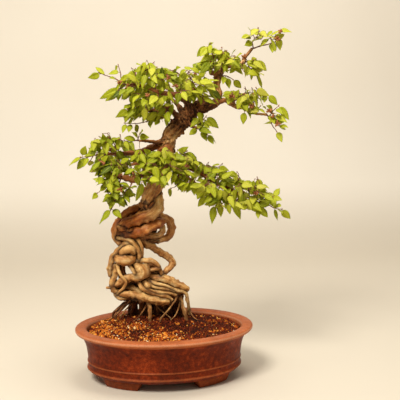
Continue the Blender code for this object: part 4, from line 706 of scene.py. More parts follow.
        ((-100, 428, -120, 420), (-90, 430, -96, 446), (-66, 408, -56, 394), (-74, 418, -90, 408),
         (-64, 438, -46, 446), (-86, 430, -82, 412)),
    ),
    "middle_back": (
        (((-30, 434, 66), (-22, 442, 84), (-18, 446, 100)),
         ((-24, 440, 78), (-8, 436, 92), (6, 430, 100))),
        ((-18, 446, -34, 440), (-18, 446, -2, 454), (6, 430, 20, 418), (-8, 436, -18, 422),
         (-24, 440, -38, 430)),
    ),
    "right_back": (
        (((78, 412, 82), (94, 410, 92), (110, 402, 98)),
         ((86, 411, 87), (82, 400, 96), (76, 390, 100)),
         ((84, 411, 86), (80, 424, 96))),
        ((110, 402, 128, 390), (98, 408, 106, 422), (76, 390, 66, 374), (82, 402, 98, 392),
         (80, 424, 62, 432), (92, 410, 98, 394)),
    ),
}

POT_LOW, POT_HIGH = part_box("pot")
POT_CENTRE = Vector(((POT_LOW.x + POT_HIGH.x) / 2, (POT_LOW.y + POT_HIGH.y) / 2, POT_LOW.z))
SCENE = bpy.context.scene


# Small tools

def linear(red, green, blue):
    """An sRGB colour of 0 to 255 as the linear colour that shaders take."""
    values = []
    for channel in (red, green, blue):
        share = channel / 255
        values.append(share / 12.92 if share <= 0.04045 else ((share + 0.055) / 1.055) ** 2.4)
    return (*values, 1.0)


def step_between(value, low, high):
    share = min(1.0, max(0.0, (value - low) / (high - low)))
    return share * share * (3 - 2 * share)


def mesh_of(name, points, faces, smooth=True):
    mesh = bpy.data.meshes.new(name)
    mesh.from_pydata([tuple(point) for point in points], [], [tuple(face) for face in faces])
    mesh.polygons.foreach_set("use_smooth", [smooth] * len(mesh.polygons))
    mesh.update()
    return mesh


def mesh_from(shape, name):
    """The mesh of a bmesh, which is freed."""
    mesh = bpy.data.meshes.new(name)
    shape.to_mesh(mesh)
    shape.free()
    return mesh


def show(name, mesh, materials):
    """An object of a finished mesh that rides with the tree."""
    thing = bpy.data.objects.new(name, mesh)
    SCENE.collection.objects.link(thing)
    for made in materials:
        mesh.materials.append(made)
    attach(thing, "root")
    return thing


def write_values(mesh, name, values, kind="FLOAT"):
    """A value, or a vector, for each point of a mesh, that shaders read by name."""
    made = mesh.attributes.new(name, kind, "POINT")
    key = "vector" if kind == "FLOAT_VECTOR" else "value"
    made.data.foreach_set(key, np.asarray(values, np.float32).ravel())


def read_vectors(mesh, key):
    """The places or the normals of a mesh's points."""
    values = np.zeros(len(mesh.vertices) * 3, np.float32)
    mesh.vertices.foreach_get(key, values)
    return values.reshape(-1, 3)


def temporary(mesh):
    thing = bpy.data.objects.new("temporary", mesh)
    SCENE.collection.objects.link(thing)
    return thing


def applied(thing):
    """The mesh that an object's modifiers make."""
    bpy.context.view_layer.update()
    graph = bpy.context.evaluated_depsgraph_get()
    return bpy.data.meshes.new_from_object(thing.evaluated_get(graph))


# Materials

class Look:
    """A material, with a method for each kind of node that the materials share."""

    def __init__(self, name):
        self.material = bpy.data.materials.new(name)
        self.material.use_nodes = True
        self.tree = self.material.node_tree
        self.shader = self.tree.nodes["Principled BSDF"]
        self.place = self.put("TexCoord").outputs["Object"]

    def feed(self, node, key, value):
        """Link a socket to a node's input, or set the input to a value."""
        if isinstance(value, bpy.types.NodeSocket):
            self.tree.links.new(value, node.inputs[key])
        else:
            node.inputs[key].default_value = value

    def put(self, kind, inputs=None, **settings):
        made = self.tree.nodes.new("ShaderNode" + kind)
        for key, value in settings.items():
            setattr(made, key, value)
        for key, value in (inputs or {}).items():
            self.feed(made, key, value)
        return made

    def ramp(self, factor, *stops):
        """A colour ramp of stops: a place, then red, green and blue of 0 to 255."""
        made = self.put("ValToRGB", {"Fac": factor})
        elements = made.color_ramp.elements
        while len(elements) < len(stops):
            elements.new(0.5)
        for element, (place, *colour) in zip(elements, stops):
            element.position = place
            element.color = linear(*colour)
        return made.outputs["Color"]

    def mixed(self, factor, first, second, mode="MIX"):
        """Two colours mixed."""
        made = self.put("Mix", {0: factor, 6: first, 7: second}, data_type="RGBA", blend_type=mode)
        return made.outputs[2]

    def toned(self, colour, tone):
        """A colour made lighter or darker by a factor."""
        grey = self.put("CombineXYZ", {"X": tone, "Y": tone, "Z": tone}).outputs[0]
        return self.mixed(1.0, colour, grey, "MULTIPLY")

    def maths(self, operation, first, second=0.0, clamp=False):
        made = self.put("Math", {0: first, 1: second}, operation=operation, use_clamp=clamp)
        return made.outputs[0]

    def times(self, first, second):
        return self.maths("MULTIPLY", first, second)

    def plus(self, first, second, clamp=False):
        return self.maths("ADD", first, second, clamp)

    def spread(self, value, low, high, out_low=0.0, out_high=1.0):
        """A value's range moved smoothly to another range."""
        ends = {"Value": value, "From Min": low, "From Max": high, "To Min": out_low, "To Max": out_high}
        return self.put("MapRange", ends, interpolation_type="SMOOTHSTEP").outputs["Result"]

    def near(self, value, middle, far, close, most=1.0):
        """The most where a value is close to a middle one, and nothing where it is far from it."""
        away = self.maths("ABSOLUTE", self.maths("SUBTRACT", value, middle))
        return self.spread(away, far, close, 0.0, most)

    def noise(self, scale, detail, roughness=0.5, vector=None):
        inputs = {"Vector": self.place if vector is None else vector, "Scale": scale,
                  "Detail": detail, "Roughness": roughness}
        return self.put("TexNoise", inputs).outputs["Fac"]

    def attribute(self, name, output="Fac"):
        return self.put("Attribute", attribute_name=name).outputs[output]

    def shade(self, colour, roughness, specular=None):
        """Give the shader its colour, its roughness and, as a constant, its specular level."""
        self.feed(self.shader, "Base Color", colour)
        self.feed(self.shader, "Roughness", roughness)
        if specular is not None:
            self.shader.inputs["Specular IOR Level"].default_value = specular

    def bumps(self, *parts):
        """Bump nodes in a row, each of a height, a strength and a distance."""
        normal = None
        for height, strength, distance in parts:
            inputs = {"Height": height, "Strength": strength, "Distance": distance}
            if normal is not None:
                inputs["Normal"] = normal
            normal = self.put("Bump", inputs).outputs["Normal"]
        self.feed(self.shader, "Normal", normal)
        return normal


def clay_material():
    """Unglazed red-brown clay: mottled, paler on the rim, with a faint sheen; painted highlights on the
    beads, the lip's edge and the feet, and painted shade toward the back of the rim.
    """
    look = Look("fired_clay_look")
    grain = look.noise(520.0, 4.0, 0.7)
    mottle = look.plus(look.times(look.noise(16.0, 5.0, 0.62), 0.45),
                       look.times(look.noise(130.0, 6.0, 0.75), 0.55))
    wall = look.ramp(mottle, (0.36, 70, 23, 7), (0.46, 94, 31, 8), (0.54, 118, 40, 10), (0.64, 154, 60, 20))
    rim = look.ramp(mottle, (0.32, 150, 76, 40), (0.60, 188, 104, 58))
    where = look.put("SeparateXYZ", {"Vector": look.place}).outputs
    height = where["Z"]
    base = POT_LOW.z
    on_rim = look.spread(height, base + RIM_FOOT, base + RIM_FOOT + 0.0075)
    # painted highlight along the two raised lines
    on_beads = look.maths("MAXIMUM", look.near(height, base + THICK_BEAD, 0.0035, 0.0005),
                          look.near(height, base + THIN_BEAD, 0.0026, 0.0004))
    # painted shade: rim, beads and lip edge grow less pale toward the back
    at_back = look.spread(where["Y"], POT_CENTRE.y + 0.02, POT_CENTRE.y + 0.11, 1.0, 0.5)
    pale = look.times(look.maths("MAXIMUM", on_rim, look.times(on_beads, 0.55)), at_back)
    # painted light: the feet are paler, as if their faces caught the light
    on_feet = look.spread(height, base + 0.020, base + 0.012, 0.0, 0.30)
    colour = look.mixed(look.maths("MAXIMUM", pale, on_feet), wall, rim)
    # painted highlight along the lip's widest edge, weaker toward the back
    edge = look.near(height, base + RIM_EDGE, 0.0030, 0.0006, 0.45)
    colour = look.mixed(look.times(edge, at_back), colour, linear(232, 168, 128))
    colour = look.toned(colour, look.spread(grain, 0.35, 0.75, 0.86, 1.14))
    look.shade(colour, look.spread(look.noise(60.0, 4.0), 0.3, 0.7, 0.38, 0.56), 0.10)
    look.bumps((look.noise(130.0, 4.0), 0.25, 0.0008), (grain, 0.35, 0.0003))
    return look.material


def plastic_material():
    look = Look("mesh_plastic_look")
    scuffs = look.noise(300.0, 4.0, 0.6)
    colour = look.ramp(scuffs, (0.3, 22, 22, 22), (0.8, 58, 52, 46))
    look.shade(colour, look.spread(scuffs, 0.2, 0.8, 0.45, 0.75))
    look.bumps((scuffs, 0.3, 0.0002))
    return look.material


def soil_material():
    """The moist bed that shows between the granules."""
    look = Look("soil_bed_look")
    crumbs = look.put("TexVoronoi", {"Vector": look.place, "Scale": 330.0}).outputs["Distance"]
    tones = look.noise(120.0, 5.0, 0.7)
    colour = look.ramp(tones, (0.3, 48, 16, 5), (0.55, 82, 28, 9), (0.8, 116, 48, 15))
    colour = look.mixed(look.spread(crumbs, 0.1, 0.7), colour, linear(20, 9, 4))
    look.shade(colour, 0.85, 0.1)
    look.bumps((crumbs, 0.9, 0.0012), (tones, 0.5, 0.0006))
    return look.material


def granule_material():
    """Fired clay and pumice granules: each has its own tone, golder where they lie dry."""
    look = Look("granules_look")
    fine = look.noise(900.0, 4.0, 0.65)
    varied = look.plus(look.attribute("tone"), look.spread(fine, 0.2, 0.8, -0.05, 0.05), clamp=True)
    colour = look.ramp(varied, (0.00, 36, 11, 4), (0.22, 86, 28, 8), (0.42, 134, 50, 13),
                       (0.60, 180, 84, 22), (0.76, 226, 134, 36), (0.90, 242, 184, 90),
                       (1.00, 252, 232, 190))
    look.shade(colour, look.spread(fine, 0.3, 0.7, 0.62, 0.9), 0.18)
    look.bumps((fine, 0.6, 0.0004))
    return look.material


def bark_material():
    """Bare roots of smooth tan bark, rust-brown coils, and rough dark bark on the bend, with painted shade
    under limbs, in hollows and creases, and on roots in shadow.
    """
    look = Look("bark_look")
    grain = look.attribute("grain", "Vector")
    dark = look.attribute("dark")
    streaks = look.noise(150.0, 5.0, 0.6, grain)
    speck = look.noise(650.0, 4.0, 0.7)
    tan = look.ramp(streaks, (0.26, 150, 92, 38), (0.42, 206, 148, 80), (0.58, 238, 192, 122),
                    (0.76, 253, 229, 176))
    warm = look.ramp(streaks, (0.28, 104, 46, 12), (0.46, 164, 84, 26), (0.62, 204, 122, 46),
                     (0.80, 232, 170, 92))
    rough_bark = look.ramp(look.noise(210.0, 6.0, 0.72, grain), (0.32, 24, 11, 5),
                           (0.43, 66, 34, 15), (0.53, 128, 76, 36), (0.65, 204, 146, 92))
    blotch = look.spread(look.noise(42.0, 4.0, 0.6), 0.3, 0.7, -0.28, 0.28)
    colour = look.mixed(look.plus(look.attribute("rust"), blotch, clamp=True), tan, warm)
    dark_share = look.plus(dark, look.times(blotch, 0.8), clamp=True)
    colour = look.mixed(dark_share, colour, rough_bark)
    stains = look.spread(look.noise(120.0, 5.0, 0.7), 0.52, 0.64)
    colour = look.mixed(look.times(stains, 0.50), colour, linear(138, 74, 28))
    # painted shade on the undersides of limbs
    colour = look.mixed(look.times(look.attribute("under"), 0.60), colour, linear(92, 42, 14))
    # painted shade: darker where the bark lies in the hollows of its relief and in creases between limbs
    colour = look.mixed(look.times(look.attribute("painted_hollow_shade"), 0.92), colour, linear(34, 14, 6))
    colour = look.toned(colour, look.spread(speck, 0.3, 0.75, 0.90, 1.10))
    roughness = look.plus(look.spread(streaks, 0.2, 0.8, 0.38, 0.56), look.times(dark_share, 0.25))
    look.shade(colour, roughness, 0.24)
    cells = look.put("TexVoronoi", {"Vector": grain, "Scale": 190.0}, feature="DISTANCE_TO_EDGE")
    cracks = look.times(look.spread(cells.outputs["Distance"], 0.0, 0.28), dark)
    look.bumps((look.noise(260.0, 6.0, 0.65, grain), 0.70, 0.0014), (cracks, 1.0, 0.0030),
               (speck, 0.35, 0.0004))
    return look.material


def twig_material():
    look = Look("twig_look")
    streaks = look.noise(420.0, 5.0, 0.6)
    colour = look.ramp(streaks, (0.28, 66, 30, 18), (0.50, 118, 62, 38), (0.72, 160, 100, 66))
    look.shade(colour, look.spread(streaks, 0.2, 0.8, 0.45, 0.7))
    look.bumps((streaks, 0.5, 0.0004))
    return look.material


def bud_material():
    """Bud scales: red-brown, paler at their dry tips."""
    look = Look("bud_look")
    scales = look.noise(700.0, 4.0, 0.6)
    colour = look.ramp(scales, (0.3, 104, 56, 20), (0.55, 168, 100, 48), (0.8, 222, 160, 96))
    look.shade(colour, 0.6)
    look.bumps((scales, 0.5, 0.0004))
    return look.material


def leaf_material():
    """Thin yellow-green blades with pressed-in side veins, lit through from behind."""
    look = Look("leaf_look")
    blade = look.put("SeparateXYZ", {"Vector": look.attribute("blade", "Vector")}).outputs
    across = look.maths("ABSOLUTE", blade["X"])
    mottle = look.noise(260.0, 4.0, 0.6)
    age = look.plus(blade["Z"], look.spread(mottle, 0.25, 0.75, -0.10, 0.10), clamp=True)
    colour = look.ramp(age, (0.00, 70, 88, 8), (0.25, 136, 148, 14), (0.50, 184, 189, 26),
                       (0.75, 206, 205, 48), (1.00, 220, 213, 86))
    # side veins run out and forward from the rib
    phase = look.maths("SUBTRACT", look.times(blade["Y"], VEINS), look.times(across, VEIN_SLANT))
    wave = look.maths("ABSOLUTE", look.maths("SINE", look.times(phase, math.pi)))
    lines = look.maths("MAXIMUM", look.times(look.spread(wave, 0.30, 0.0), 0.45),
                       look.spread(across, 0.09, 0.02))
    colour = look.mixed(look.times(lines, 0.55), colour, linear(224, 222, 104))
    colour = look.toned(colour, look.spread(wave, 0.2, 0.9, 0.80, 1.06))
    colour = look.mixed(look.times(look.attribute("under"), 0.30), colour, linear(170, 184, 76))
    look.shade(colour, look.spread(mottle, 0.2, 0.8, 0.42, 0.62), 0.26)
    normal = look.bumps((wave, 0.35, 0.0006), (mottle, 0.25, 0.0003))
    through = look.mixed(0.55, colour, linear(208, 216, 20))
    glow = look.put("BsdfTranslucent", {"Color": through, "Normal": normal})
    both = look.put("MixShader", {0: 0.34, 1: look.shader.outputs[0], 2: glow.outputs[0]})
    look.feed(look.tree.nodes["Material Output"], "Surface", both.outputs[0])
    return look.material


def stage_material():
    look = Look("stage_paper")
    paper = look.ramp(look.noise(1.2, 3.0), (0.3, 240, 230, 213), (0.7, 245, 236, 220))
    height = look.put("SeparateXYZ", {"Vector": look.place}).outputs["Z"]
    look.shade(look.mixed(look.spread(height, 0.0, 0.25), linear(214, 203, 184), paper), 0.9)
    return look.material


# Pot

def oval_point(half_length, angle):
    half_width = half_length - (POT_HALF_LENGTH - POT_HALF_WIDTH)
    return half_length * math.cos(angle), half_width * math.sin(angle)


def rounded_profile(profile):
    """The pot's profile with its corners cut twice."""
    for _ in range(2):
        smooth = [profile[0]]
        for start, end in zip(profile, profile[1:]):
            smooth.append(tuple((1 - CORNER_CUT) * a + CORNER_CUT * b for a, b in zip(start, end)))
            smooth.append(tuple(CORNER_CUT * a + (1 - CORNER_CUT) * b for a, b in zip(start, end)))
        smooth.append(profile[-1])
        profile = smooth
    return profile


def pot_wall():
    """The pot without its feet and drain holes, a little wavy as hand-pressed clay is."""
    shape = bmesh.new()
    skins = []
    for half_length, height in rounded_profile(POT_PROFILE):
        ring = []
        for step in range(POT_SEGMENTS):
            x, y = oval_point(half_length, 2 * math.pi * step / POT_SEGMENTS)
            wave = CLAY_WAVE * noise.noise(Vector((x * 22, y * 22, height * 30)))
            ring.append(shape.verts.new((x * (1 + wave / 0.15), y * (1 + wave / 0.11), height)))
        skins.append(ring)
    for lower, upper in zip(skins, skins[1:]):
        for step in range(POT_SEGMENTS):
            after = (step + 1) % POT_SEGMENTS
            shape.faces.new((lower[step], lower[after], upper[after], upper[step]))
    shape.faces.new(list(reversed(skins[0])))
    shape.faces.new(skins[-1])
    bmesh.ops.recalc_face_normals(shape, faces=shape.faces)
    return mesh_from(shape, "pot_clay")


def drain_drill(side):
    shape = bmesh.new()
    bmesh.ops.create_cone(shape, cap_ends=True, segments=32, radius1=DRAIN_RADIUS,
                          radius2=DRAIN_RADIUS, depth=3 * FLOOR_TOP)
    bmesh.ops.translate(shape, verts=shape.verts, vec=(side * DRAIN_SPREAD, 0, FLOOR_TOP))
    return mesh_from(shape, "drill")


def foot_angles():
    return ((-FOOT_END, -FOOT_START), (FOOT_START, FOOT_END),
            (math.pi - FOOT_END, math.pi - FOOT_START), (math.pi + FOOT_START, math.pi + FOOT_END))


def foot_mesh(start, end):
    """A tapered foot along the oval, with its edges rounded."""
    shape = bmesh.new()
    sections = []
    for step in range(FOOT_STEPS + 1):
        share = step / FOOT_STEPS
        low = start + (end - start) * share
        high = start - FOOT_FLARE + (end - start + 2 * FOOT_FLARE) * share
        corners = (
            (*oval_point(FOOT_INNER, low), 0.0),
            (*oval_point(FOOT_OUTER_BOTTOM, low), 0.0),
            (*oval_point(FOOT_OUTER_TOP, high), FOOT_HEIGHT),
            (*oval_point(FOOT_INNER, high), FOOT_HEIGHT),
        )
        sections.append([shape.verts.new(corner) for corner in corners])
    for first, second in zip(sections, sections[1:]):
        for corner in range(4):
            after = (corner + 1) % 4
            shape.faces.new((first[corner], first[after], second[after], second[corner]))
    shape.faces.new(sections[0])
    shape.faces.new(sections[-1])
    bmesh.ops.recalc_face_normals(shape, faces=shape.faces)
    sharp = [edge for edge in shape.edges if edge.calc_face_angle(0.0) > math.radians(40)]
    bmesh.ops.bevel(shape, geom=sharp, offset=FOOT_EDGE, segments=3, profile=0.5, affect="EDGES")
    return mesh_from(shape, "foot")


def make_pot(clay):
    tools = [(drain_drill(side), "DIFFERENCE") for side in (-1, 1)]
    tools += [(foot_mesh(start, end), "UNION") for start, end in foot_angles()]
    body = temporary(pot_wall())
    things = [body]
    for mesh, operation in tools:
        thing = temporary(mesh)
        things.append(thing)
        change = body.modifiers.new("change", "BOOLEAN")
        change.operation = operation
        change.solver = "MANIFOLD"
        change.object = thing
    final = applied(body)
    final.name = "pot_clay"
    final.materials.clear()
    final.transform(Matrix.Translation(POT_CENTRE))
    for thing in things:
        bpy.data.objects.remove(thing)
    final.polygons.foreach_set("use_smooth", [True] * len(final.polygons))
    final.set_sharp_from_angle(angle=SMOOTH_ANGLE)
    pot = show("pot_clay", final, [clay])
    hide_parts("pot")


# Soil

def soil_height(x, y):
    """The soil's surface over the pot's own middle, as in the solids."""
    away = math.hypot(x - MOUND_CENTRE[0], y - MOUND_CENTRE[1])
    mound = MOUND_HEIGHT * math.exp(-(away / MOUND_SPREAD) ** 2 / 2)
    lumps = 0.0009 * math.sin(95 * x + 1.0) * math.cos(120 * y)
    return SOIL_LEVEL + mound + lumps


def dryness(x, y):
    """Where the golden granules lie: at the left, in patches at the front, and by the roots."""
    left = 0.86 * step_between(-x, 0.060, 0.105)
    front = math.exp(-((x + 0.012) / 0.042) ** 2 - ((y + 0.078) / 0.034) ** 2)
    by_roots = 0.75 * math.exp(-((x + 0.055) / 0.028) ** 2 - ((y + 0.010) / 0.022) ** 2)
    patches = noise.noise(Vector((x * 45, y * 45, 4.0)))
    spots = step_between(noise.noise(Vector((x * 60, y * 60, 9.0))), 0.38, 0.55)
    dry = max(left, 1.15 * front, by_roots, 0.8 * spots) * (1.0 + 0.9 * patches) + 0.18 * patches
    return min(1.0, max(0.0, dry))


def granule_shapes(chance):
    """A few angular crumbs, each the hull of points strewn on a ball."""
    shapes = []
    for _ in range(GRANULE_SHAPES):
        shape = bmesh.new()
        for _ in range(GRANULE_CORNERS):
            point = Vector([chance.gauss(0, 1) for _ in range(3)]).normalized()
            shape.verts.new(point * chance.uniform(0.82, 1.0))
        hull = bmesh.ops.convex_hull(shape, input=shape.verts)
        inside_or_shaded = [part for part in hull["geom_interior"] if isinstance(part, bmesh.types.BMVert)]
        bmesh.ops.delete(shape, geom=inside_or_shaded, context="VERTS")
        bmesh.ops.recalc_face_normals(shape, faces=shape.faces)
        shape.verts.ensure_lookup_table()
        shape.verts.index_update()
        points = np.array([vertex.co for vertex in shape.verts])
        faces = np.array([[vertex.index for vertex in face.verts] for face in shape.faces])
        shape.free()
        shapes.append((points, faces))
    return shapes


def granule_spots(half_width, chance):
    """Places in jittered rows over the whole bed, with more strewn on top, and their lift."""
    spots = []
    row_gap = GRANULE_STEP * math.sqrt(3) / 2
    rows = int(half_width / row_gap) + 1
    columns = int(GRANULE_FIELD / GRANULE_STEP) + 1
    for row in range(-rows, rows + 1):
        for column in range(-columns, columns + 1):
            x = column + 0.5 * (row % 2) + chance.uniform(-GRANULE_JITTER, GRANULE_JITTER)
            y = row + chance.uniform(-GRANULE_JITTER, GRANULE_JITTER)
            spots.append((x * GRANULE_STEP, y * row_gap, chance.uniform(-0.0007, 0.0006)))
    for _ in range(GRANULES_ON_TOP):
        angle = chance.uniform(0, 2 * math.pi)
        reach = math.sqrt(chance.random())
        spots.append((reach * math.cos(angle) * GRANULE_FIELD, reach * math.sin(angle) * half_width,
                      chance.uniform(0.0010, 0.0022)))
    return spots


def granule_tone(dry, chance):
    """Mostly red-brown, golden where it is dry, and now and then cream."""
    tone = chance.betavariate(1.3, 2.1) * (0.46 + 0.44 * dry) + 0.12 + 0.01 * dry
    if chance.random() < 0.03 + 0.42 * dry:
        tone = chance.uniform(0.62, 0.84)
    if chance.random() < 0.012 + 0.06 * dry:
        tone = chance.uniform(0.86, 1.0)
    return min(1.0, tone)


def make_granules(root_ends, material):
    """Granules over the whole bed, but not where a root stands in it."""
    chance = random.Random(SEED + 1)
    shapes = granule_shapes(chance)
    half_width = GRANULE_FIELD - (POT_HALF_LENGTH - POT_HALF_WIDTH)
    points = []
    faces = []
    tones = []
    filled = 0
    for x, y, lift in granule_spots(half_width, chance):
        dry = dryness(x, y)
        size = (0.00160 + 0.00085 * dry) * math.exp(chance.gauss(0.0, 0.28))
        size = min(LARGEST_GRANULE, size)
        if (x / (GRANULE_FIELD - size)) ** 2 + (y / (half_width - size)) ** 2 > 1.0:
            continue
        if any((x - end.x) ** 2 + (y - end.y) ** 2 < (radius * 0.9) ** 2 for end, radius in root_ends):
            continue
        local, corners = shapes[chance.randrange(GRANULE_SHAPES)]
        stretch = np.array([chance.uniform(0.75, 1.2) for _ in range(3)]) * size
        turn = np.array(Matrix.Rotation(chance.uniform(0, 6.28), 3, "Z")
                        @ Matrix.Rotation(chance.uniform(0, 6.28), 3, "X"))
        placed = (local * stretch) @ turn.T + np.array((x, y, soil_height(x, y) + lift))
        points.append(placed)
        faces.append(corners + filled)
        filled += len(placed)
        tones += [granule_tone(dry, chance)] * len(placed)
    points = np.concatenate(points) + np.array(POT_CENTRE)
    mesh = mesh_of("granules", points, np.concatenate(faces), smooth=False)
    write_values(mesh, "tone", tones)
    piece = show("granules", mesh, [material])


# Routes

def seen(across, height, depth):
    """The place of a point that the eye sees at (across, height), at its depth."""
    reach = (EYE_DISTANCE + depth) / EYE_DISTANCE
    x = across * reach
    z = EYE_HEIGHT + (height - EYE_HEIGHT) * reach
    cosine = math.cos(POT_TURN)
    sine = math.sin(POT_TURN)
    return Vector((x * cosine + depth * sine, depth * cosine - x * sine, z)) * MM + POT_CENTRE


def smooth_route(points, step):
    """A smooth curve through points of any size, in pieces of about a step."""
    ends = [points[0]] + list(points) + [points[-1]]
    curve = [Vector(points[0])]
    for before, start, end, after in zip(ends, ends[1:], ends[2:], ends[3:]):
        before, start, end, after = (Vector(point) for point in (before, start, end, after))
        pieces = max(1, round((end - start).length / step))
        for piece in range(1, pieces + 1):
            t = piece / pieces
            curve.append(0.5 * (2 * start + (end - before) * t
                                + (2 * before - 5 * start + 4 * end - after) * t ** 2
                                + (3 * start - before - 3 * end + after) * t ** 3))
    return curve


def frames_along(points):
    """A tangent and two steady cross directions at each point of a line."""
    frames = []
    side = None
    for number in range(len(points)):
        before = points[max(0, number - 1)]
        after = points[min(len(points) - 1, number + 1)]
        tangent = (after - before).normalized()
        if side is None:
            side = tangent.orthogonal().normalized()
        side = (side - tangent * side.dot(tangent)).normalized()
        frames.append((tangent, side, tangent.cross(side)))
    return frames


def tube_faces(rings, sides, first=0):
    """The faces of a closed tube, with the number of its first point."""
    faces = []
    for ring in range(rings - 1):
        low = first + ring * sides
        for corner in range(sides):
            after = (corner + 1) % sides
            faces.append((low + corner, low + after, low + sides + after, low + sides + corner))
    last = first + (rings - 1) * sides
    faces.append(tuple(first + corner for corner in reversed(range(sides))))
    faces.append(tuple(last + corner for corner in range(sides)))
    return faces


def tube_into(points, radii, sides, vertices, faces):
    """A closed tube along points, added to lists of vertices and faces."""
    faces += tube_faces(len(points), sides, len(vertices))
    for point, radius, (_, side, other) in zip(points, radii, frames_along(points)):
        for corner in range(sides):
            angle = 2 * math.pi * corner / sides
            vertices.append(point + side * (radius * math.cos(angle)) + other * (radius * math.sin(angle)))


# Roots, trunk and branches

def ground_at(point):
    """The height of the soil's surface under a point."""
    local = point - POT_CENTRE
    return POT_CENTRE.z + soil_height(local.x, local.y)


def bury(points, radii):
    """Lead a root straight down into the soil; gives its end, over the pot's middle, and radius."""
    points[-1].z = max(points[-1].z, ground_at(points[-1]) + ROOT_LIFT)
    start = points[-1].copy()
    end = Vector((start.x, start.y, POT_CENTRE.z + ROOT_END))
    for step in range(1, BURIED_STEPS + 1):
        points.append(start.lerp(end, step / BURIED_STEPS))
        radii.append(radii[-1])
    return end - POT_CENTRE, radii[-1]


def lay_down(points):
    """Keep a strand above the soil, but for its tip."""
    for place, point in enumerate(points):
        share = place / (len(points) - 1)
        point.z = max(point.z, ground_at(point) + 0.0018 - 0.003 * share ** 4)


def limb_list():
    """Every limb's kind, number, points and radii, and where roots stand in the soil."""
    limbs = []
    root_ends = []
    kinds = {"trunk": TRUNK, "upper": UPPER_ROOTS, "middle": MIDDLE_ROOTS, "lower": LOWER_ROOTS,
             "branch": BRANCHES, "soil": SOIL_ROOTS, "inner": INNER_ROOTS, "back": BACK_ROOTS,
             "strand": STRANDS, "knot": KNOTS}
    for kind, routes in kinds.items():
        for number, route in enumerate(routes):
            curve = smooth_route(route, LIMB_STEP if kind in GROWN_KINDS else ROOT_STEP)
            points = [seen(*point[:3]) for point in curve]
            radii = [point[3] * MM for point in curve]
            if kind in ("soil", "back"):
                root_ends.append(bury(points, radii))
            if kind == "strand":
                lay_down(points)
            limbs.append((kind, number, points, radii))
    return limbs, root_ends


def wart(place, scale, least):
    """A small round bump in some of the cells of a jittered grid."""
    distances, centres = noise.voronoi(place * scale)
    if noise.cell(centres[0] * 7.3) < least:
        return 0.0
    return max(0.0, 1.0 - (distances[0] / 0.42) ** 2)


def bark_push(kind, place, local, along, radius, stray, roughness):
    """How far bark stands out at a place, and how deep in the hollows of its relief it lies, for painted
    shade.
    """
    lump = noise.noise(Vector((local.x * 70 + stray, local.y * 70, along * 55)))
    knob = max(0.0, noise.noise(Vector((local.x * 130 + stray, local.y * 130, along * 130))) - 0.08)
    ridge = noise.noise(Vector((local.x * 260 + stray, local.y * 260, along * 34)))
    crumb = noise.noise(place * 210)
    wrinkle = noise.noise(Vector((stray, local.x * 30, along * 420)))
    push = min(radius, 0.012) * ((0.12 + 0.12 * roughness) * lump + 0.55 * knob)
    push += (0.00030 + 0.0019 * roughness) * ridge
    push += (0.00010 + 0.0016 * roughness) * crumb + 0.00012 * wrinkle
    if kind == "lower" and radius > 0.0045:
        push += 0.0030 * wart(place, 115.0, 0.50)
    elif kind in ("middle", "lower", "upper") and radius > 0.0035:
        push += 0.0018 * wart(place, 100.0, 0.72)
    # painted shade: the deeper a place lies in the bark's relief, the darker it is painted
    deep = -ridge * (0.25 + 1.3 * roughness) - 0.9 * crumb * roughness - 0.35 * lump
    return push, max(0.0, min(1.0, deep))


def trunk_bark(place, x, height):
    climb = step_between(height + 0.3 * x / MM, 486, 512)
    neck = step_between(height, 350, 380)
    knots = step_between(noise.noise(place * 55), 0.25, 0.45)
    foot = 1 - step_between(height, 352, 372)
    dark = max(0.08 + 0.82 * climb, 0.55 * knots, 0.28 * foot)
    return 0.45 - 0.10 * neck + 0.3 * climb, dark, max(0.25 + 0.75 * climb, 0.8 * foot)


def branch_bark(number, place, height, along):
    near_trunk = step_between(height, 474, 506) * (1 - step_between(along, 0.018, 0.045))
    if number not in PALE_BRANCHES:
        return 0.80, 0.34 + 0.52 * near_trunk, 0.5 + 0.5 * near_trunk
    near_trunk = 0.4 * (1 - step_between(along, 0.0, 0.03)) if number > 1 else 0.0
    spots = 0.45 * step_between(noise.noise(place * 110), 0.0, 0.3)
    return 0.45, 0.08 + spots + 0.52 * near_trunk, 0.5 + 0.5 * near_trunk


def upper_root_bark(number, x, height):
    rust = UPPER_RUST[number]
    left = step_between(-x, 0.005, 0.060)
    high = step_between(height, 262, 300)
    # painted shade: the dark upper root is darker all along, the shaded one left of the pot's middle
    dark = {DARK_UPPER: 0.35, SHADED_UPPER: 0.85 * step_between(-x, 0.0, 0.012)}.get(number, 0.02)
    return rust + (0.92 - rust) * left * high, dark, 0.06


def bark_kind(kind, number, place, along=0.0):
    """How rusty, how dark and how rough the bark is at a place."""
    x = place.x - POT_CENTRE.x
    height = (place.z - POT_CENTRE.z) / MM
    if kind == "trunk":
        return trunk_bark(place, x, height)
    if kind == "branch":
        return branch_bark(number, place, height, along)
    if kind == "upper":
        return upper_root_bark(number, x, height)
    if kind == "soil":
        dirt = 1 - step_between(height, 108, 132)
        return 0.4, min(1.0, SOIL_ROOT_DARKNESS[number] + 0.35 * dirt), 0.22
    if kind == "middle":
        return 0.42 if number == RUSTY_MIDDLE else 0.10, 0.0, 0.05
    if kind == "lower":
        # painted shade: this lower root lies in shadow, so its bark is painted darker and rustier
        inside_or_shaded = 0.75 if number == SHADED_LOWER else 0.0
        return 0.12 + 0.4 * inside_or_shaded, inside_or_shaded, 0.08
    if kind == "knot":
        return 0.75, 0.30 if number < NECK_KNOTS else 0.05, 0.5
    if kind == "strand":
        return 0.45, STRAND_DARKNESS[number], 0.1
    # inner roots: dark bark as painted shade; back roots: dark bark
    return 0.6, 1.0 if kind == "back" else 0.72, 0.6 if kind == "back" else 0.5


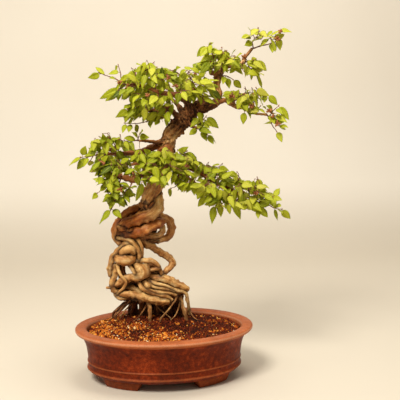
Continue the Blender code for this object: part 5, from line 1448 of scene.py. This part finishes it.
def crease_at(places, own, axis_places, axis_radii, axis_orders):
    """How deep each place lies in a crease between its own limb and others, from 0 to 1, for painted crease
    shade.
    """
    others = axis_orders != own
    centres = axis_places[others]
    reach = axis_radii[others]
    creases = np.zeros(len(places), np.float32)
    for start in range(0, len(places), CREASE_BATCH):
        part = places[start:start + CREASE_BATCH]
        apart = np.linalg.norm(part[:, None, :] - centres[None, :, :], axis=2) - reach[None, :]
        gap = np.clip(apart.min(axis=1), 0, None)
        creases[start:start + CREASE_BATCH] = np.clip(1 - gap / CREASE_REACH, 0, 1) ** 1.5
    return creases


class Bark:
    """Points, faces and bark values of the limbs, gathered in one mesh at a time."""

    def __init__(self, limbs):
        self.clear()
        axes = []
        for order, (kind, _, points, radii) in enumerate(limbs):
            body = -1 if kind in GROWN_KINDS else order
            for point, radius in list(zip(points, radii))[::2]:
                axes.append((*point, radius, body))
        axes = np.array(axes, np.float32)
        self.axis_places = axes[:, :3]
        self.axis_radii = axes[:, 3]
        self.axis_orders = axes[:, 4].astype(int)

    def clear(self):
        self.places = []
        self.faces = []
        self.grain = []
        self.values = []
        self.count = 0

    def take(self, order, places, faces, grain, values):
        """Take in a limb's points and faces, with its rows of rust, dark and painted shade in hollows and
        creases.
        """
        crease = crease_at(places, order, self.axis_places, self.axis_radii, self.axis_orders)
        # painted crease shade where this limb comes close to another
        values[:, 2] = np.clip(values[:, 2] + CREASE_SHADE * crease, 0, 1)
        self.faces += [[self.count + index for index in face] for face in faces]
        self.places.append(places)
        self.grain.append(grain)
        self.values.append(values)
        self.count += len(places)

    def finish(self, name, material):
        mesh = mesh_of(name, np.concatenate(self.places), self.faces)
        # painted shade: the more the bark faces down, the darker it is painted
        upward = read_vectors(mesh, "normal")[:, 2]
        write_values(mesh, "under", np.clip((0.25 - upward) / 1.15, 0, 1))
        write_values(mesh, "grain", np.concatenate(self.grain), "FLOAT_VECTOR")
        for key, column in zip(("rust", "dark", "painted_hollow_shade"), np.concatenate(self.values).T):
            write_values(mesh, key, column)
        wood = show(name, mesh, [material])
        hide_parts("trunk_roots_branches")
        self.clear()

    def clearance(self, place):
        """How far a place is from the surface of the nearest limb."""
        away = np.linalg.norm(self.axis_places - np.array(place), axis=1) - self.axis_radii
        return float(away.min())


def rounded_ends(points, radii):
    """A limb's points and radii with a dome added at each end."""
    start = (points[0] - points[1]).normalized()
    end = (points[-1] - points[-2]).normalized()
    before = []
    after = []
    for share in (0.35, 0.65, 0.86, 0.97):
        slim = math.sqrt(1 - share ** 2)
        before.insert(0, (points[0] + start * (radii[0] * share * 0.8), radii[0] * slim))
        after.append((points[-1] + end * (radii[-1] * share * 0.8), radii[-1] * slim))
    whole = before + list(zip(points, radii)) + after
    return [pair[0] for pair in whole], [pair[1] for pair in whole]


def add_root(bark, order, limb, chance):
    """One root as a tube of its own, so that a crease, with its painted crease shade, stays where it
    crosses others.
    """
    kind, number, points, radii = limb
    points, radii = rounded_ends(points, radii)
    sides = next(count for least, count in ROOT_SIDES if max(radii) > least)
    stray = order * GRAIN_SHIFT
    drift = Vector([chance.uniform(-9, 9) for _ in range(3)])
    places = []
    grain = []
    values = []
    travelled = 0.0

    def wander(pace, lane):
        return noise.noise(drift + Vector((travelled * pace, lane, 0)))

    for ring, (point, radius, (_, side, other)) in enumerate(zip(points, radii, frames_along(points))):
        if ring:
            travelled += (point - points[ring - 1]).length
        swell = 1 + 0.11 * wander(60, 0) + 0.06 * wander(170, 3)
        stray_x = 0.12 * wander(90, 7)
        stray_y = 0.12 * wander(90, 11)
        oval = 1 + 0.10 * wander(35, 5)
        for corner in range(sides):
            angle = 2 * math.pi * corner / sides
            local = Vector((radius * math.cos(angle) * oval, radius * math.sin(angle) / oval, 0))
            place = point + side * (local.x + stray_x * radius) + other * (local.y + stray_y * radius)
            rust, dark, roughness = bark_kind(kind, number, place)
            push, painted_hollow_shade = bark_push(kind, place, local, travelled, radius, stray, roughness)
            most = MOST_ROOT_PUSH * radius
            push = max(-most, min(most + 0.0002, push)) + radius * (swell - 1)
            places.append(place + (side * math.cos(angle) + other * math.sin(angle)) * push)
            grain.append((local.x + stray, local.y, travelled * GRAIN_SHARE))
            values.append((rust, dark, painted_hollow_shade))
    bark.take(order, np.array(places, np.float32), tube_faces(len(points), sides),
              np.array(grain, np.float32), np.array(values, np.float32))


def grown_skin(limbs):
    """One skin over trunk and branches, and the place, limb, way, frame and radius along them."""
    vertices = []
    faces = []
    samples = []
    for order, (kind, _, points, radii) in enumerate(limbs):
        if kind not in GROWN_KINDS:
            continue
        travelled = 0.0
        for place, (point, radius, axes) in enumerate(zip(points, radii, frames_along(points))):
            if place:
                travelled += (point - points[place - 1]).length
            samples.append((point, order, travelled, axes, radius))
        tube_into(points, radii, LIMB_SIDES, vertices, faces)
    holder = temporary(mesh_of("raw_wood", vertices, faces))
    skin = holder.modifiers.new("skin", "REMESH")
    skin.mode = "VOXEL"
    skin.voxel_size = WOOD_CELL
    relax = holder.modifiers.new("relax", "SMOOTH")
    relax.factor = 0.5
    relax.iterations = 2
    mesh = applied(holder)
    bpy.data.objects.remove(holder)
    return mesh, samples


def add_trunk(bark, limbs):
    """Trunk and branches, skinned together as they grew, then given their bark."""
    mesh, samples = grown_skin(limbs)
    places = read_vectors(mesh, "co")
    normals = read_vectors(mesh, "normal")
    tree = KDTree(len(samples))
    for index, sample in enumerate(samples):
        tree.insert(sample[0], index)
    tree.balance()
    grain = np.zeros_like(places)
    values = np.zeros_like(places)
    pushes = np.zeros(len(places), np.float32)
    for index, row in enumerate(places):
        place = Vector(row)
        _, nearest, _ = tree.find(place)
        point, order, travelled, (tangent, side, other), radius = samples[nearest]
        kind, number = limbs[order][:2]
        arm = place - point
        along = travelled + arm.dot(tangent)
        local = Vector((arm.dot(side), arm.dot(other), 0))
        stray = order * GRAIN_SHIFT
        grain[index] = (local.x + stray, local.y, along * GRAIN_SHARE)
        rust, dark, roughness = bark_kind(kind, number, place, along)
        push, painted_hollow_shade = bark_push(kind, place, local, along, radius, stray, roughness)
        most = MOST_TRUNK_PUSH * radius
        pushes[index] = max(-most, min(most, push))
        values[index] = (rust, dark, painted_hollow_shade)
    faces = [list(polygon.vertices) for polygon in mesh.polygons]
    bark.take(-1, places + normals * pushes[:, None], faces, grain, values)
    bpy.data.meshes.remove(mesh)


def make_wood(limbs, material):
    chance = random.Random(SEED + 2)
    bark = Bark(limbs)
    add_trunk(bark, limbs)
    bark.finish("trunk_and_branches", material)
    for order, limb in enumerate(limbs):
        if limb[0] not in GROWN_KINDS:
            add_root(bark, order, limb, chance)
    bark.finish("roots", material)
    return bark


# Leaves and twigs

def blade_shape(rows, columns):
    """Points of the two sides of a blade, as (across, along, side), its faces and its rows."""
    points = []
    for side in (1, -1):
        for row in range(1, rows):
            for column in range(columns + 1):
                points.append((2 * column / columns - 1, row / rows, side))
    base = len(points)
    tip = base + 1
    points += [(0.0, 0.0, 0), (0.0, 1.0, 0)]
    wide = columns + 1
    under = (rows - 1) * wide

    def corner(row, column, side):
        if row == 0:
            return base
        if row == rows:
            return tip
        if column in (0, columns):
            side = 0
        return side * under + (row - 1) * wide + column

    faces = []
    for side in (0, 1):
        for row in range(rows):
            for column in range(columns):
                ring = [corner(row, column, side), corner(row, column + 1, side),
                        corner(row + 1, column + 1, side), corner(row + 1, column, side)]
                ring = [index for place, index in enumerate(ring) if index not in ring[:place]]
                if side:
                    ring.reverse()
                faces.append(ring)
    used = sorted({index for face in faces for index in face})
    renumber = {old: new for new, old in enumerate(used)}
    faces = [[renumber[index] for index in face] for face in faces]
    return np.array(points)[used], faces, rows


def bend_blade(shape, length, width, chance):
    """A blade's points, in metres, along +Y from its base, its upper side facing +Z."""
    grid, _, rows = shape
    u = grid[:, 0]
    v = grid[:, 1]
    side = grid[:, 2]
    fullest = chance.uniform(0.50, 0.66)
    drawn = chance.uniform(1.02, 1.38)
    outline = np.power(np.clip(v, 0, 1), fullest) * np.power(np.clip(1 - v, 0, 1), drawn)
    outline = outline / outline.max()
    edge = np.abs(u) > 0.99
    even = np.round(v * rows) % 2 == 0
    tooth = np.where(edge, np.where(even, 1.05, 0.93), 1.0)
    lean = np.where(edge, np.where(even, 0.012, -0.006), 0.0)
    x = u * outline * width / 2 * tooth
    y = (v + 0.05 * np.abs(u) * (1 - v) * np.minimum(1, 6 * v) + lean) * length
    fold = chance.uniform(0.05, 0.34)
    bend = chance.uniform(-0.02, 0.26)
    twist = chance.uniform(-0.35, 0.35)
    ripple = chance.uniform(0.004, 0.012)
    z = fold * np.abs(x) - bend * length * v ** 2
    phase = v * VEINS - np.abs(u) * VEIN_SLANT
    z = z - ripple * length * np.abs(np.cos(math.pi * phase)) * np.minimum(1, 4 * np.abs(u))
    wave = chance.uniform(0.0, 0.022) * length
    z = z + wave * np.sin(v * 9 + u * 2 + chance.uniform(0, 6)) * np.abs(u)
    cup = chance.uniform(-0.5, 1.0) * 0.05 * length
    z = z - cup * u ** 2 * outline
    z = z + np.where(side < 0, -BLADE_THICKNESS, 0.0) * np.sqrt(np.clip(1 - u ** 2, 0, 1))
    angle = twist * v
    turned_x = x * np.cos(angle) - z * np.sin(angle) * 0.5
    turned_z = z * np.cos(angle) + x * np.sin(angle)
    hook = chance.uniform(-0.10, 0.10) * length
    return np.stack((turned_x + hook * v ** 2, y, turned_z), axis=1)


def leaf_tint(root, face, chance):
    """Leaves at the outside are yellower and inner ones darker; leaves to the right, high up and facing up
    are painted lighter, and low ones darker as painted shade.
    """
    local = (root - POT_CENTRE) / MM
    outside = min(1.0, abs(local.x - 20) / 230)
    # painted light: lighter to the right and higher up, darker to the left and lower down
    lit = 0.14 * max(-0.7, min(1.0, local.x / 140)) + 0.07 * (local.z - 430) / 200
    # facing up adds painted light
    return min(1.0, max(0.0, chance.gauss(0.45 + lit + 0.06 * outside + 0.10 * face.z, 0.20)))


def facing(front, along, roll):
    """A blade's upper direction: square to its rib, toward the front, and rolled about the rib."""
    face = (front - along * front.dot(along)).normalized()
    return Matrix.Rotation(roll, 3, along) @ face


class Spray:
    """Twigs, stalks, buds and blades of one spray, gathered as one mesh."""

    def __init__(self, name):
        self.name = name
        self.points = []
        self.faces = []
        self.kinds = []
        self.blades = []
        self.unders = []

    def add_tube(self, points, radii, sides, kind):
        tube_into(points, radii, sides, self.points, self.faces)
        self.kinds += [kind] * (len(self.faces) - len(self.kinds))
        missing = len(self.points) - len(self.blades)
        self.blades += [(0.0, 0.0, 0.5)] * missing
        self.unders += [0.0] * missing

    def add_blade(self, shape, root, along, face, length, width, tint, chance):
        grid, blade_faces, _ = shape
        side = along.cross(face).normalized()
        up = side.cross(along).normalized()
        turn = np.array((side, along, up))
        placed = bend_blade(shape, length, width, chance) @ turn + np.array(root)
        first = len(self.points)
        self.points += [Vector(point) for point in placed]
        self.faces += [[first + index for index in ring] for ring in blade_faces]
        self.kinds += [BLADE] * len(blade_faces)
        self.blades += [(u, v, tint) for u, v, _ in grid]
        self.unders += [1.0 if side_of < 0 else 0.0 for _, _, side_of in grid]

    def add_stalk(self, stem, root, sag):
        middle = stem.lerp(root, 0.5) + Vector((0, 0, -sag))
        self.add_tube([stem, middle, root], STALK_RADII, 5, TWIG)

    def add_leaf(self, shape, stem, root, along, face, size, chance):
        """A leaf on its stalk, of a width and a tint that chance gives."""
        self.add_stalk(stem, root, FILL_SAG)
        width = size * chance.uniform(0.50, 0.62)
        tint = leaf_tint(root, face, chance)
        self.add_blade(shape, root, along, face, size, width, tint, chance)

    def add_bud(self, place, direction, size):
        points = [place + direction * (size * share) for share in (0.0, 0.3, 0.65, 1.0)]
        radii = [size * share for share in (0.20, 0.34, 0.24, 0.04)]
        self.add_tube(points, radii, 6, BUD)

    def finish(self, materials):
        mesh = mesh_of("foliage_" + self.name, self.points, self.faces)
        mesh.polygons.foreach_set("material_index", self.kinds)
        write_values(mesh, "blade", self.blades, "FLOAT_VECTOR")
        write_values(mesh, "under", self.unders)
        piece = show("foliage_" + self.name, mesh, materials)
        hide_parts("spray_" + self.name)


class Nodes:
    """Places along all the twigs, where more twigs can spring from, and whose they are."""

    def __init__(self):
        self.places = np.zeros((MOST_NODES, 3))
        self.owners = np.zeros(MOST_NODES, int)
        self.count = 0

    def add(self, place, owner):
        self.places[self.count] = place
        self.owners[self.count] = owner
        self.count += 1

    def nearest(self, place):
        away = np.linalg.norm(self.places[:self.count] - np.array(place), axis=1)
        index = int(away.argmin())
        return Vector(self.places[index]), int(self.owners[index]), float(away[index])


def nearest_on(guides, across, height):
    """The stem point that is seen nearest to a place, and how far off it is seen."""
    best = None
    for guide in guides:
        for start, end in zip(guide, guide[1:]):
            run = Vector((end.x - start.x, end.y - start.y))
            gap = Vector((across - start.x, height - start.y))
            share = min(1.0, max(0.0, gap.dot(run) / max(run.length_squared, 1e-9)))
            point = start.lerp(end, share)
            away = math.hypot(across - point.x, height - point.y)
            if best is None or away < best[1]:
                best = (point, away)
    return best


def hand_leaf(spray, shape, leaf, guides, chance):
    """A leaf whose root and tip are listed, as the eye sees them."""
    root_x, root_z, tip_x, tip_z = leaf
    stem, away = nearest_on(guides, root_x, root_z)
    depth = stem.z + chance.uniform(-0.5, 0.5) * min(away, 10.0)
    shown = math.hypot(tip_x - root_x, tip_z - root_z)
    length = LEAF_LENGTH * chance.uniform(0.92, 1.08)
    slant = math.sqrt(max(0.0, length ** 2 - shown ** 2))
    behind = stem.z > BACK_DEPTH
    toward_eye = chance.random() < (0.2 if behind else 0.75)
    root = seen(root_x, root_z, depth)
    tip = seen(tip_x, tip_z, depth - slant if toward_eye else depth + slant)
    along = (tip - root).normalized()
    base = seen(*stem)
    if away < 3.0:
        root = base + along * 0.003
    front = Vector((0, 0.5, 0.85)) if behind else Vector((0, -0.86, 0.50))
    face = facing(front, along, max(-MOST_ROLL, min(MOST_ROLL, chance.gauss(0.0, HAND_ROLL))))
    size = (tip - root).length
    spray.add_stalk(base, root, HAND_SAG)
    tint = 0.35 * leaf_tint(root, face, chance) + 0.65 * (0.46 + 0.12 * min(1.0, abs(root_x - 20) / 160))
    width = min(size * chance.uniform(0.52, 0.64), MOST_WIDTH * MM)
    spray.add_blade(shape, root, along, face, size, width, tint, chance)


def rear_leaves(spray, guides, shape, chance):
    """Leaves left and right in turn along the stems at the back, which the eye can't see."""
    for guide in guides:
        side_turn = 1
        for before, here in list(zip(guide, guide[1:]))[::2]:
            if here.z < BACK_DEPTH:
                continue
            side_turn = -side_turn
            start = seen(*here)
            run = (start - seen(*before)).normalized()
            across = run.cross(Vector((0, 0, 1))).normalized() * side_turn
            along = (0.6 * run + across + Vector((0, 0, chance.gauss(-0.35, 0.3)))).normalized()
            face = facing(Vector((0, 0.4, 0.85)), along, chance.gauss(0.0, FILL_ROLL))
            size = LEAF_LENGTH * MM * chance.uniform(0.8, 1.08)
            spray.add_leaf(shape, start, start + along * 0.004, along, face, size, chance)


def inside(outline, x, z):
    """Whether a place lies within an outline."""
    hit = False
    for (x1, z1), (x2, z2) in zip(outline, outline[1:] + outline[:1]):
        if (z1 > z) != (z2 > z) and x < x1 + (z - z1) * (x2 - x1) / (z2 - z1):
            hit = not hit
    return hit


def strewn(outline, gap, chance):
    """Places over an outline, no two nearer than the gap."""
    low_x, low_z = (min(values) for values in zip(*outline))
    high_x, high_z = (max(values) for values in zip(*outline))
    places = []
    for _ in range(int((high_x - low_x) * (high_z - low_z) / gap ** 2 * 14)):
        x = chance.uniform(low_x, high_x)
        z = chance.uniform(low_z, high_z)
        if not inside(outline, x, z):
            continue
        if all((x - a) ** 2 + (z - b) ** 2 > gap ** 2 for a, b in places):
            places.append((x, z))
    return places


def grow_twig(spray, nodes, owner, start, end, radius, chance):
    """A thin twig from a node to a place, crooked a little, with nodes of its own."""
    length = (end - start).length
    wander = 0.06 * length
    steps = max(1, round(length / TWIG_STEP))
    points = [start]
    for step in range(1, steps + 1):
        share = step / steps
        point = start.lerp(end, share)
        if step < steps:
            point += Vector([chance.uniform(-wander, wander) for _ in range(3)])
        point.z += 0.03 * length * math.sin(math.pi * share)
        points.append(point)
        nodes.add(point, owner)
    radii = [radius * (1 - 0.35 * place / steps) for place in range(steps + 1)]
    spray.add_tube(points, radii, 5, TWIG)
    return points[-1]


def stem_places(guides):
    """Every stem point of every spray, as the eye sees it, with the spray's number."""
    return np.array([(*point, owner) for owner, lines in enumerate(guides)
                     for line in lines for point in line])


def pad_leaves(stems, chance):
    """The middle, direction and layer of each leaf that the pads are to be filled with."""
    wanted = []
    for layers, own_depth, outline in PADS.values():
        across = [corner[0] for corner in outline]
        middle = sum(across) / len(outline)
        half = (max(across) - min(across)) / 2
        for layer in LAYERS[:layers]:
            gap = LEAF_GAP if layers > 1 else 1.25 * LEAF_GAP
            if layer == LAYERS[-1]:
                gap = REAR_LAYER_GAP
            for x, z in strewn(outline, gap, chance):
                near = int(np.hypot(stems[:, 0] - x, stems[:, 1] - z).argmin())
                depth = stems[near, 2] + layer + chance.gauss(0, 6)
                if own_depth is not None:
                    depth = own_depth + 0.4 * layer + chance.gauss(0, 4)
                centre = seen(x, z, min(depth, MOST_DEPTH))
                outward = (x - middle) / half
                run = Vector((1.1 * outward + chance.gauss(0, 0.5), chance.gauss(-0.20, 0.45),
                              chance.gauss(-0.55, 0.36))).normalized()
                wanted.append((centre, run, layer))
    return wanted


def fill_leaves(sprays, nodes, guides, shape, bark, chance):
    """Leaves over each pad in layers, each on a twig or a stalk from the nearest node."""
    wanted = pad_leaves(stem_places(guides), chance)
    wanted.sort(key=lambda leaf: nodes.nearest(leaf[0])[2])
    for centre, run, layer in wanted:
        size = LEAF_LENGTH * MM * chance.uniform(0.88, 1.20)
        root = centre - run * size * 0.5
        start, owner, away = nodes.nearest(root)
        if away > LEAN_REACH:
            run = (run + 0.35 * (root - start).normalized()).normalized()
            root = centre - run * size * 0.5
        if min(bark.clearance(root + run * size * share) for share in (0.2, 0.6, 1.0)) < WOOD_CLEARANCE:
            continue
        spray = sprays[owner]
        if away > TWIG_REACH:
            start = grow_twig(spray, nodes, owner, start, root - run * 0.005, TWIG_RADIUS, chance)
            if chance.random() < TWIG_BUD_SHARE:
                spray.add_bud(start, (run + Vector((0, 0, 0.8))).normalized(),
                              chance.uniform(0.0022, 0.0036))
        front = Vector((0.25 * chance.uniform(-1, 1), 0.3 if layer > 10 else -0.62, 0.75))
        face = facing(front, run, chance.gauss(0.0, FILL_ROLL))
        spray.add_leaf(shape, start, root, run, face, size, chance)


def add_bud_clusters(sprays, nodes, guides, chance):
    """Tufts of red-brown bud scales on short twigs, in front of the leaves beside them."""
    stems = stem_places(guides)
    for x, z in BUD_CLUSTERS:
        near = int(np.hypot(stems[:, 0] - x, stems[:, 1] - z).argmin())
        place = seen(x, z, stems[near, 2] - 12)
        start, owner, _ = nodes.nearest(place)
        spray = sprays[owner]
        end = grow_twig(spray, nodes, owner, start, place, BUD_TWIG_RADIUS, chance)
        for _ in range(chance.randint(6, 9)):
            run = Vector((chance.gauss(0, 1), chance.gauss(-0.5, 0.8), chance.gauss(0.1, 0.8)))
            run.normalize()
            spray.add_bud(end + run * 0.001, run, chance.uniform(0.0045, 0.0075))


def add_stem(spray, guide, thick, chance):
    """A stem along a guide, crooked a little and swollen at every third point, with its bud."""
    points = [seen(*point) for point in guide]
    kinks = [Vector([chance.uniform(-STEM_KINK, STEM_KINK) for _ in range(3)]) for _ in points]
    points = [points[0]] + [point + kink for point, kink in zip(points[1:], kinks[1:])]
    count = len(points) - 1
    radii = [(thick - (thick - STEM_TIP) * place / count) * MM * (STEM_SWELLING if place % 3 == 1 else 1.0)
             for place in range(count + 1)]
    spray.add_tube(points, radii, 7, TWIG)
    spray.add_bud(points[-1], (points[-1] - points[-2]).normalized(), STEM_BUD)
    return points


def make_sprays(materials, bark):
    chance = random.Random(SEED + 3)
    fine = blade_shape(*FINE_BLADE)
    plain = blade_shape(*PLAIN_BLADE)
    sprays = []
    guides = []
    nodes = Nodes()
    for owner, (name, (routes, leaves)) in enumerate(SPRAYS.items()):
        spray = Spray(name)
        own = []
        for route in routes:
            guide = smooth_route(route, STEM_STEP)
            for point in add_stem(spray, guide, SIDE_STEM if own else FIRST_STEM, chance):
                nodes.add(point, owner)
            own.append(guide)
        for leaf in leaves:
            hand_leaf(spray, fine, leaf, own, chance)
        sprays.append(spray)
        guides.append(own)
    for spray, own in zip(sprays, guides):
        rear_leaves(spray, own, plain, chance)
    fill_leaves(sprays, nodes, guides, plain, bark, chance)
    add_bud_clusters(sprays, nodes, guides, chance)
    for spray in sprays:
        spray.finish(materials)


# Stage, light and camera

def make_stage(material):
    """A pale floor that sweeps up into a backdrop."""
    profile = [(STAGE_FRONT, 0.0), (SWEEP_START, 0.0)]
    for step in range(1, SWEEP_STEPS + 1):
        angle = math.pi / 2 * step / SWEEP_STEPS
        profile.append((SWEEP_START + SWEEP_RADIUS * math.sin(angle), SWEEP_RADIUS * (1 - math.cos(angle))))
    profile.append((SWEEP_START + SWEEP_RADIUS, STAGE_REACH))
    shape = bmesh.new()
    rows = [[shape.verts.new((x, y, z)) for x in (-STAGE_REACH, STAGE_REACH)] for y, z in profile]
    for first, second in zip(rows, rows[1:]):
        shape.faces.new((first[0], first[1], second[1], second[0]))
    mesh = mesh_from(shape, "floor")
    mesh.polygons.foreach_set("use_smooth", [True] * len(mesh.polygons))
    mesh.materials.append(material)
    floor = bpy.data.objects.new("floor", mesh)
    floor.location.z = CAD_BOX[0].z
    SCENE.collection.objects.link(floor)


def make_lights():
    for name, place, size, power, colour, target in LIGHTS:
        light = bpy.data.lights.new(name, "AREA")
        light.shape = "SQUARE"
        light.size = size
        light.energy = power
        light.color = colour
        holder = bpy.data.objects.new(name, light)
        holder.location = place
        direction = Vector(target) - Vector(place)
        holder.rotation_euler = direction.to_track_quat("-Z", "Y").to_euler()
        SCENE.collection.objects.link(holder)


def make_camera():
    """The camera stands where the photograph was taken from."""
    turn = Matrix.Rotation(-POT_TURN, 3, "Z")
    look = Vector((math.sin(EYE_YAW) * math.cos(EYE_PITCH), math.cos(EYE_YAW) * math.cos(EYE_PITCH),
                   -math.sin(EYE_PITCH)))
    lens = bpy.data.cameras.new("camera")
    lens.sensor_width = 36.0
    lens.lens = EYE_LENS
    lens.clip_start = 0.05
    lens.clip_end = 20.0
    camera = bpy.data.objects.new("camera", lens)
    camera.location = turn @ Vector((0, -EYE_DISTANCE, EYE_HEIGHT)) * MM + POT_CENTRE
    camera.rotation_mode = "QUATERNION"
    camera.rotation_quaternion = (turn @ look).to_track_quat("-Z", "Y")
    SCENE.collection.objects.link(camera)
    SCENE.camera = camera


def make_world():
    world = bpy.data.worlds.new("world")
    world.use_nodes = True
    background = world.node_tree.nodes["Background"]
    background.inputs["Color"].default_value = WORLD_COLOUR
    background.inputs["Strength"].default_value = WORLD_STRENGTH
    SCENE.world = world
    SCENE.view_settings.view_transform = "Standard"
    SCENE.view_settings.look = "None"
    SCENE.view_settings.exposure = 0.0


def main():
    make_camera()
    make_world()
    make_stage(stage_material())
    make_lights()
    make_pot(clay_material())
    plastic = plastic_material()
    for name in ("drain_mesh_left", "drain_mesh_right"):
        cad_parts[name].material_slots[0].material = plastic
    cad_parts["soil"].material_slots[0].material = soil_material()
    limbs, root_ends = limb_list()
    make_granules(root_ends, granule_material())
    bark = make_wood(limbs, bark_material())
    make_sprays([leaf_material(), twig_material(), bud_material()], bark)


main()
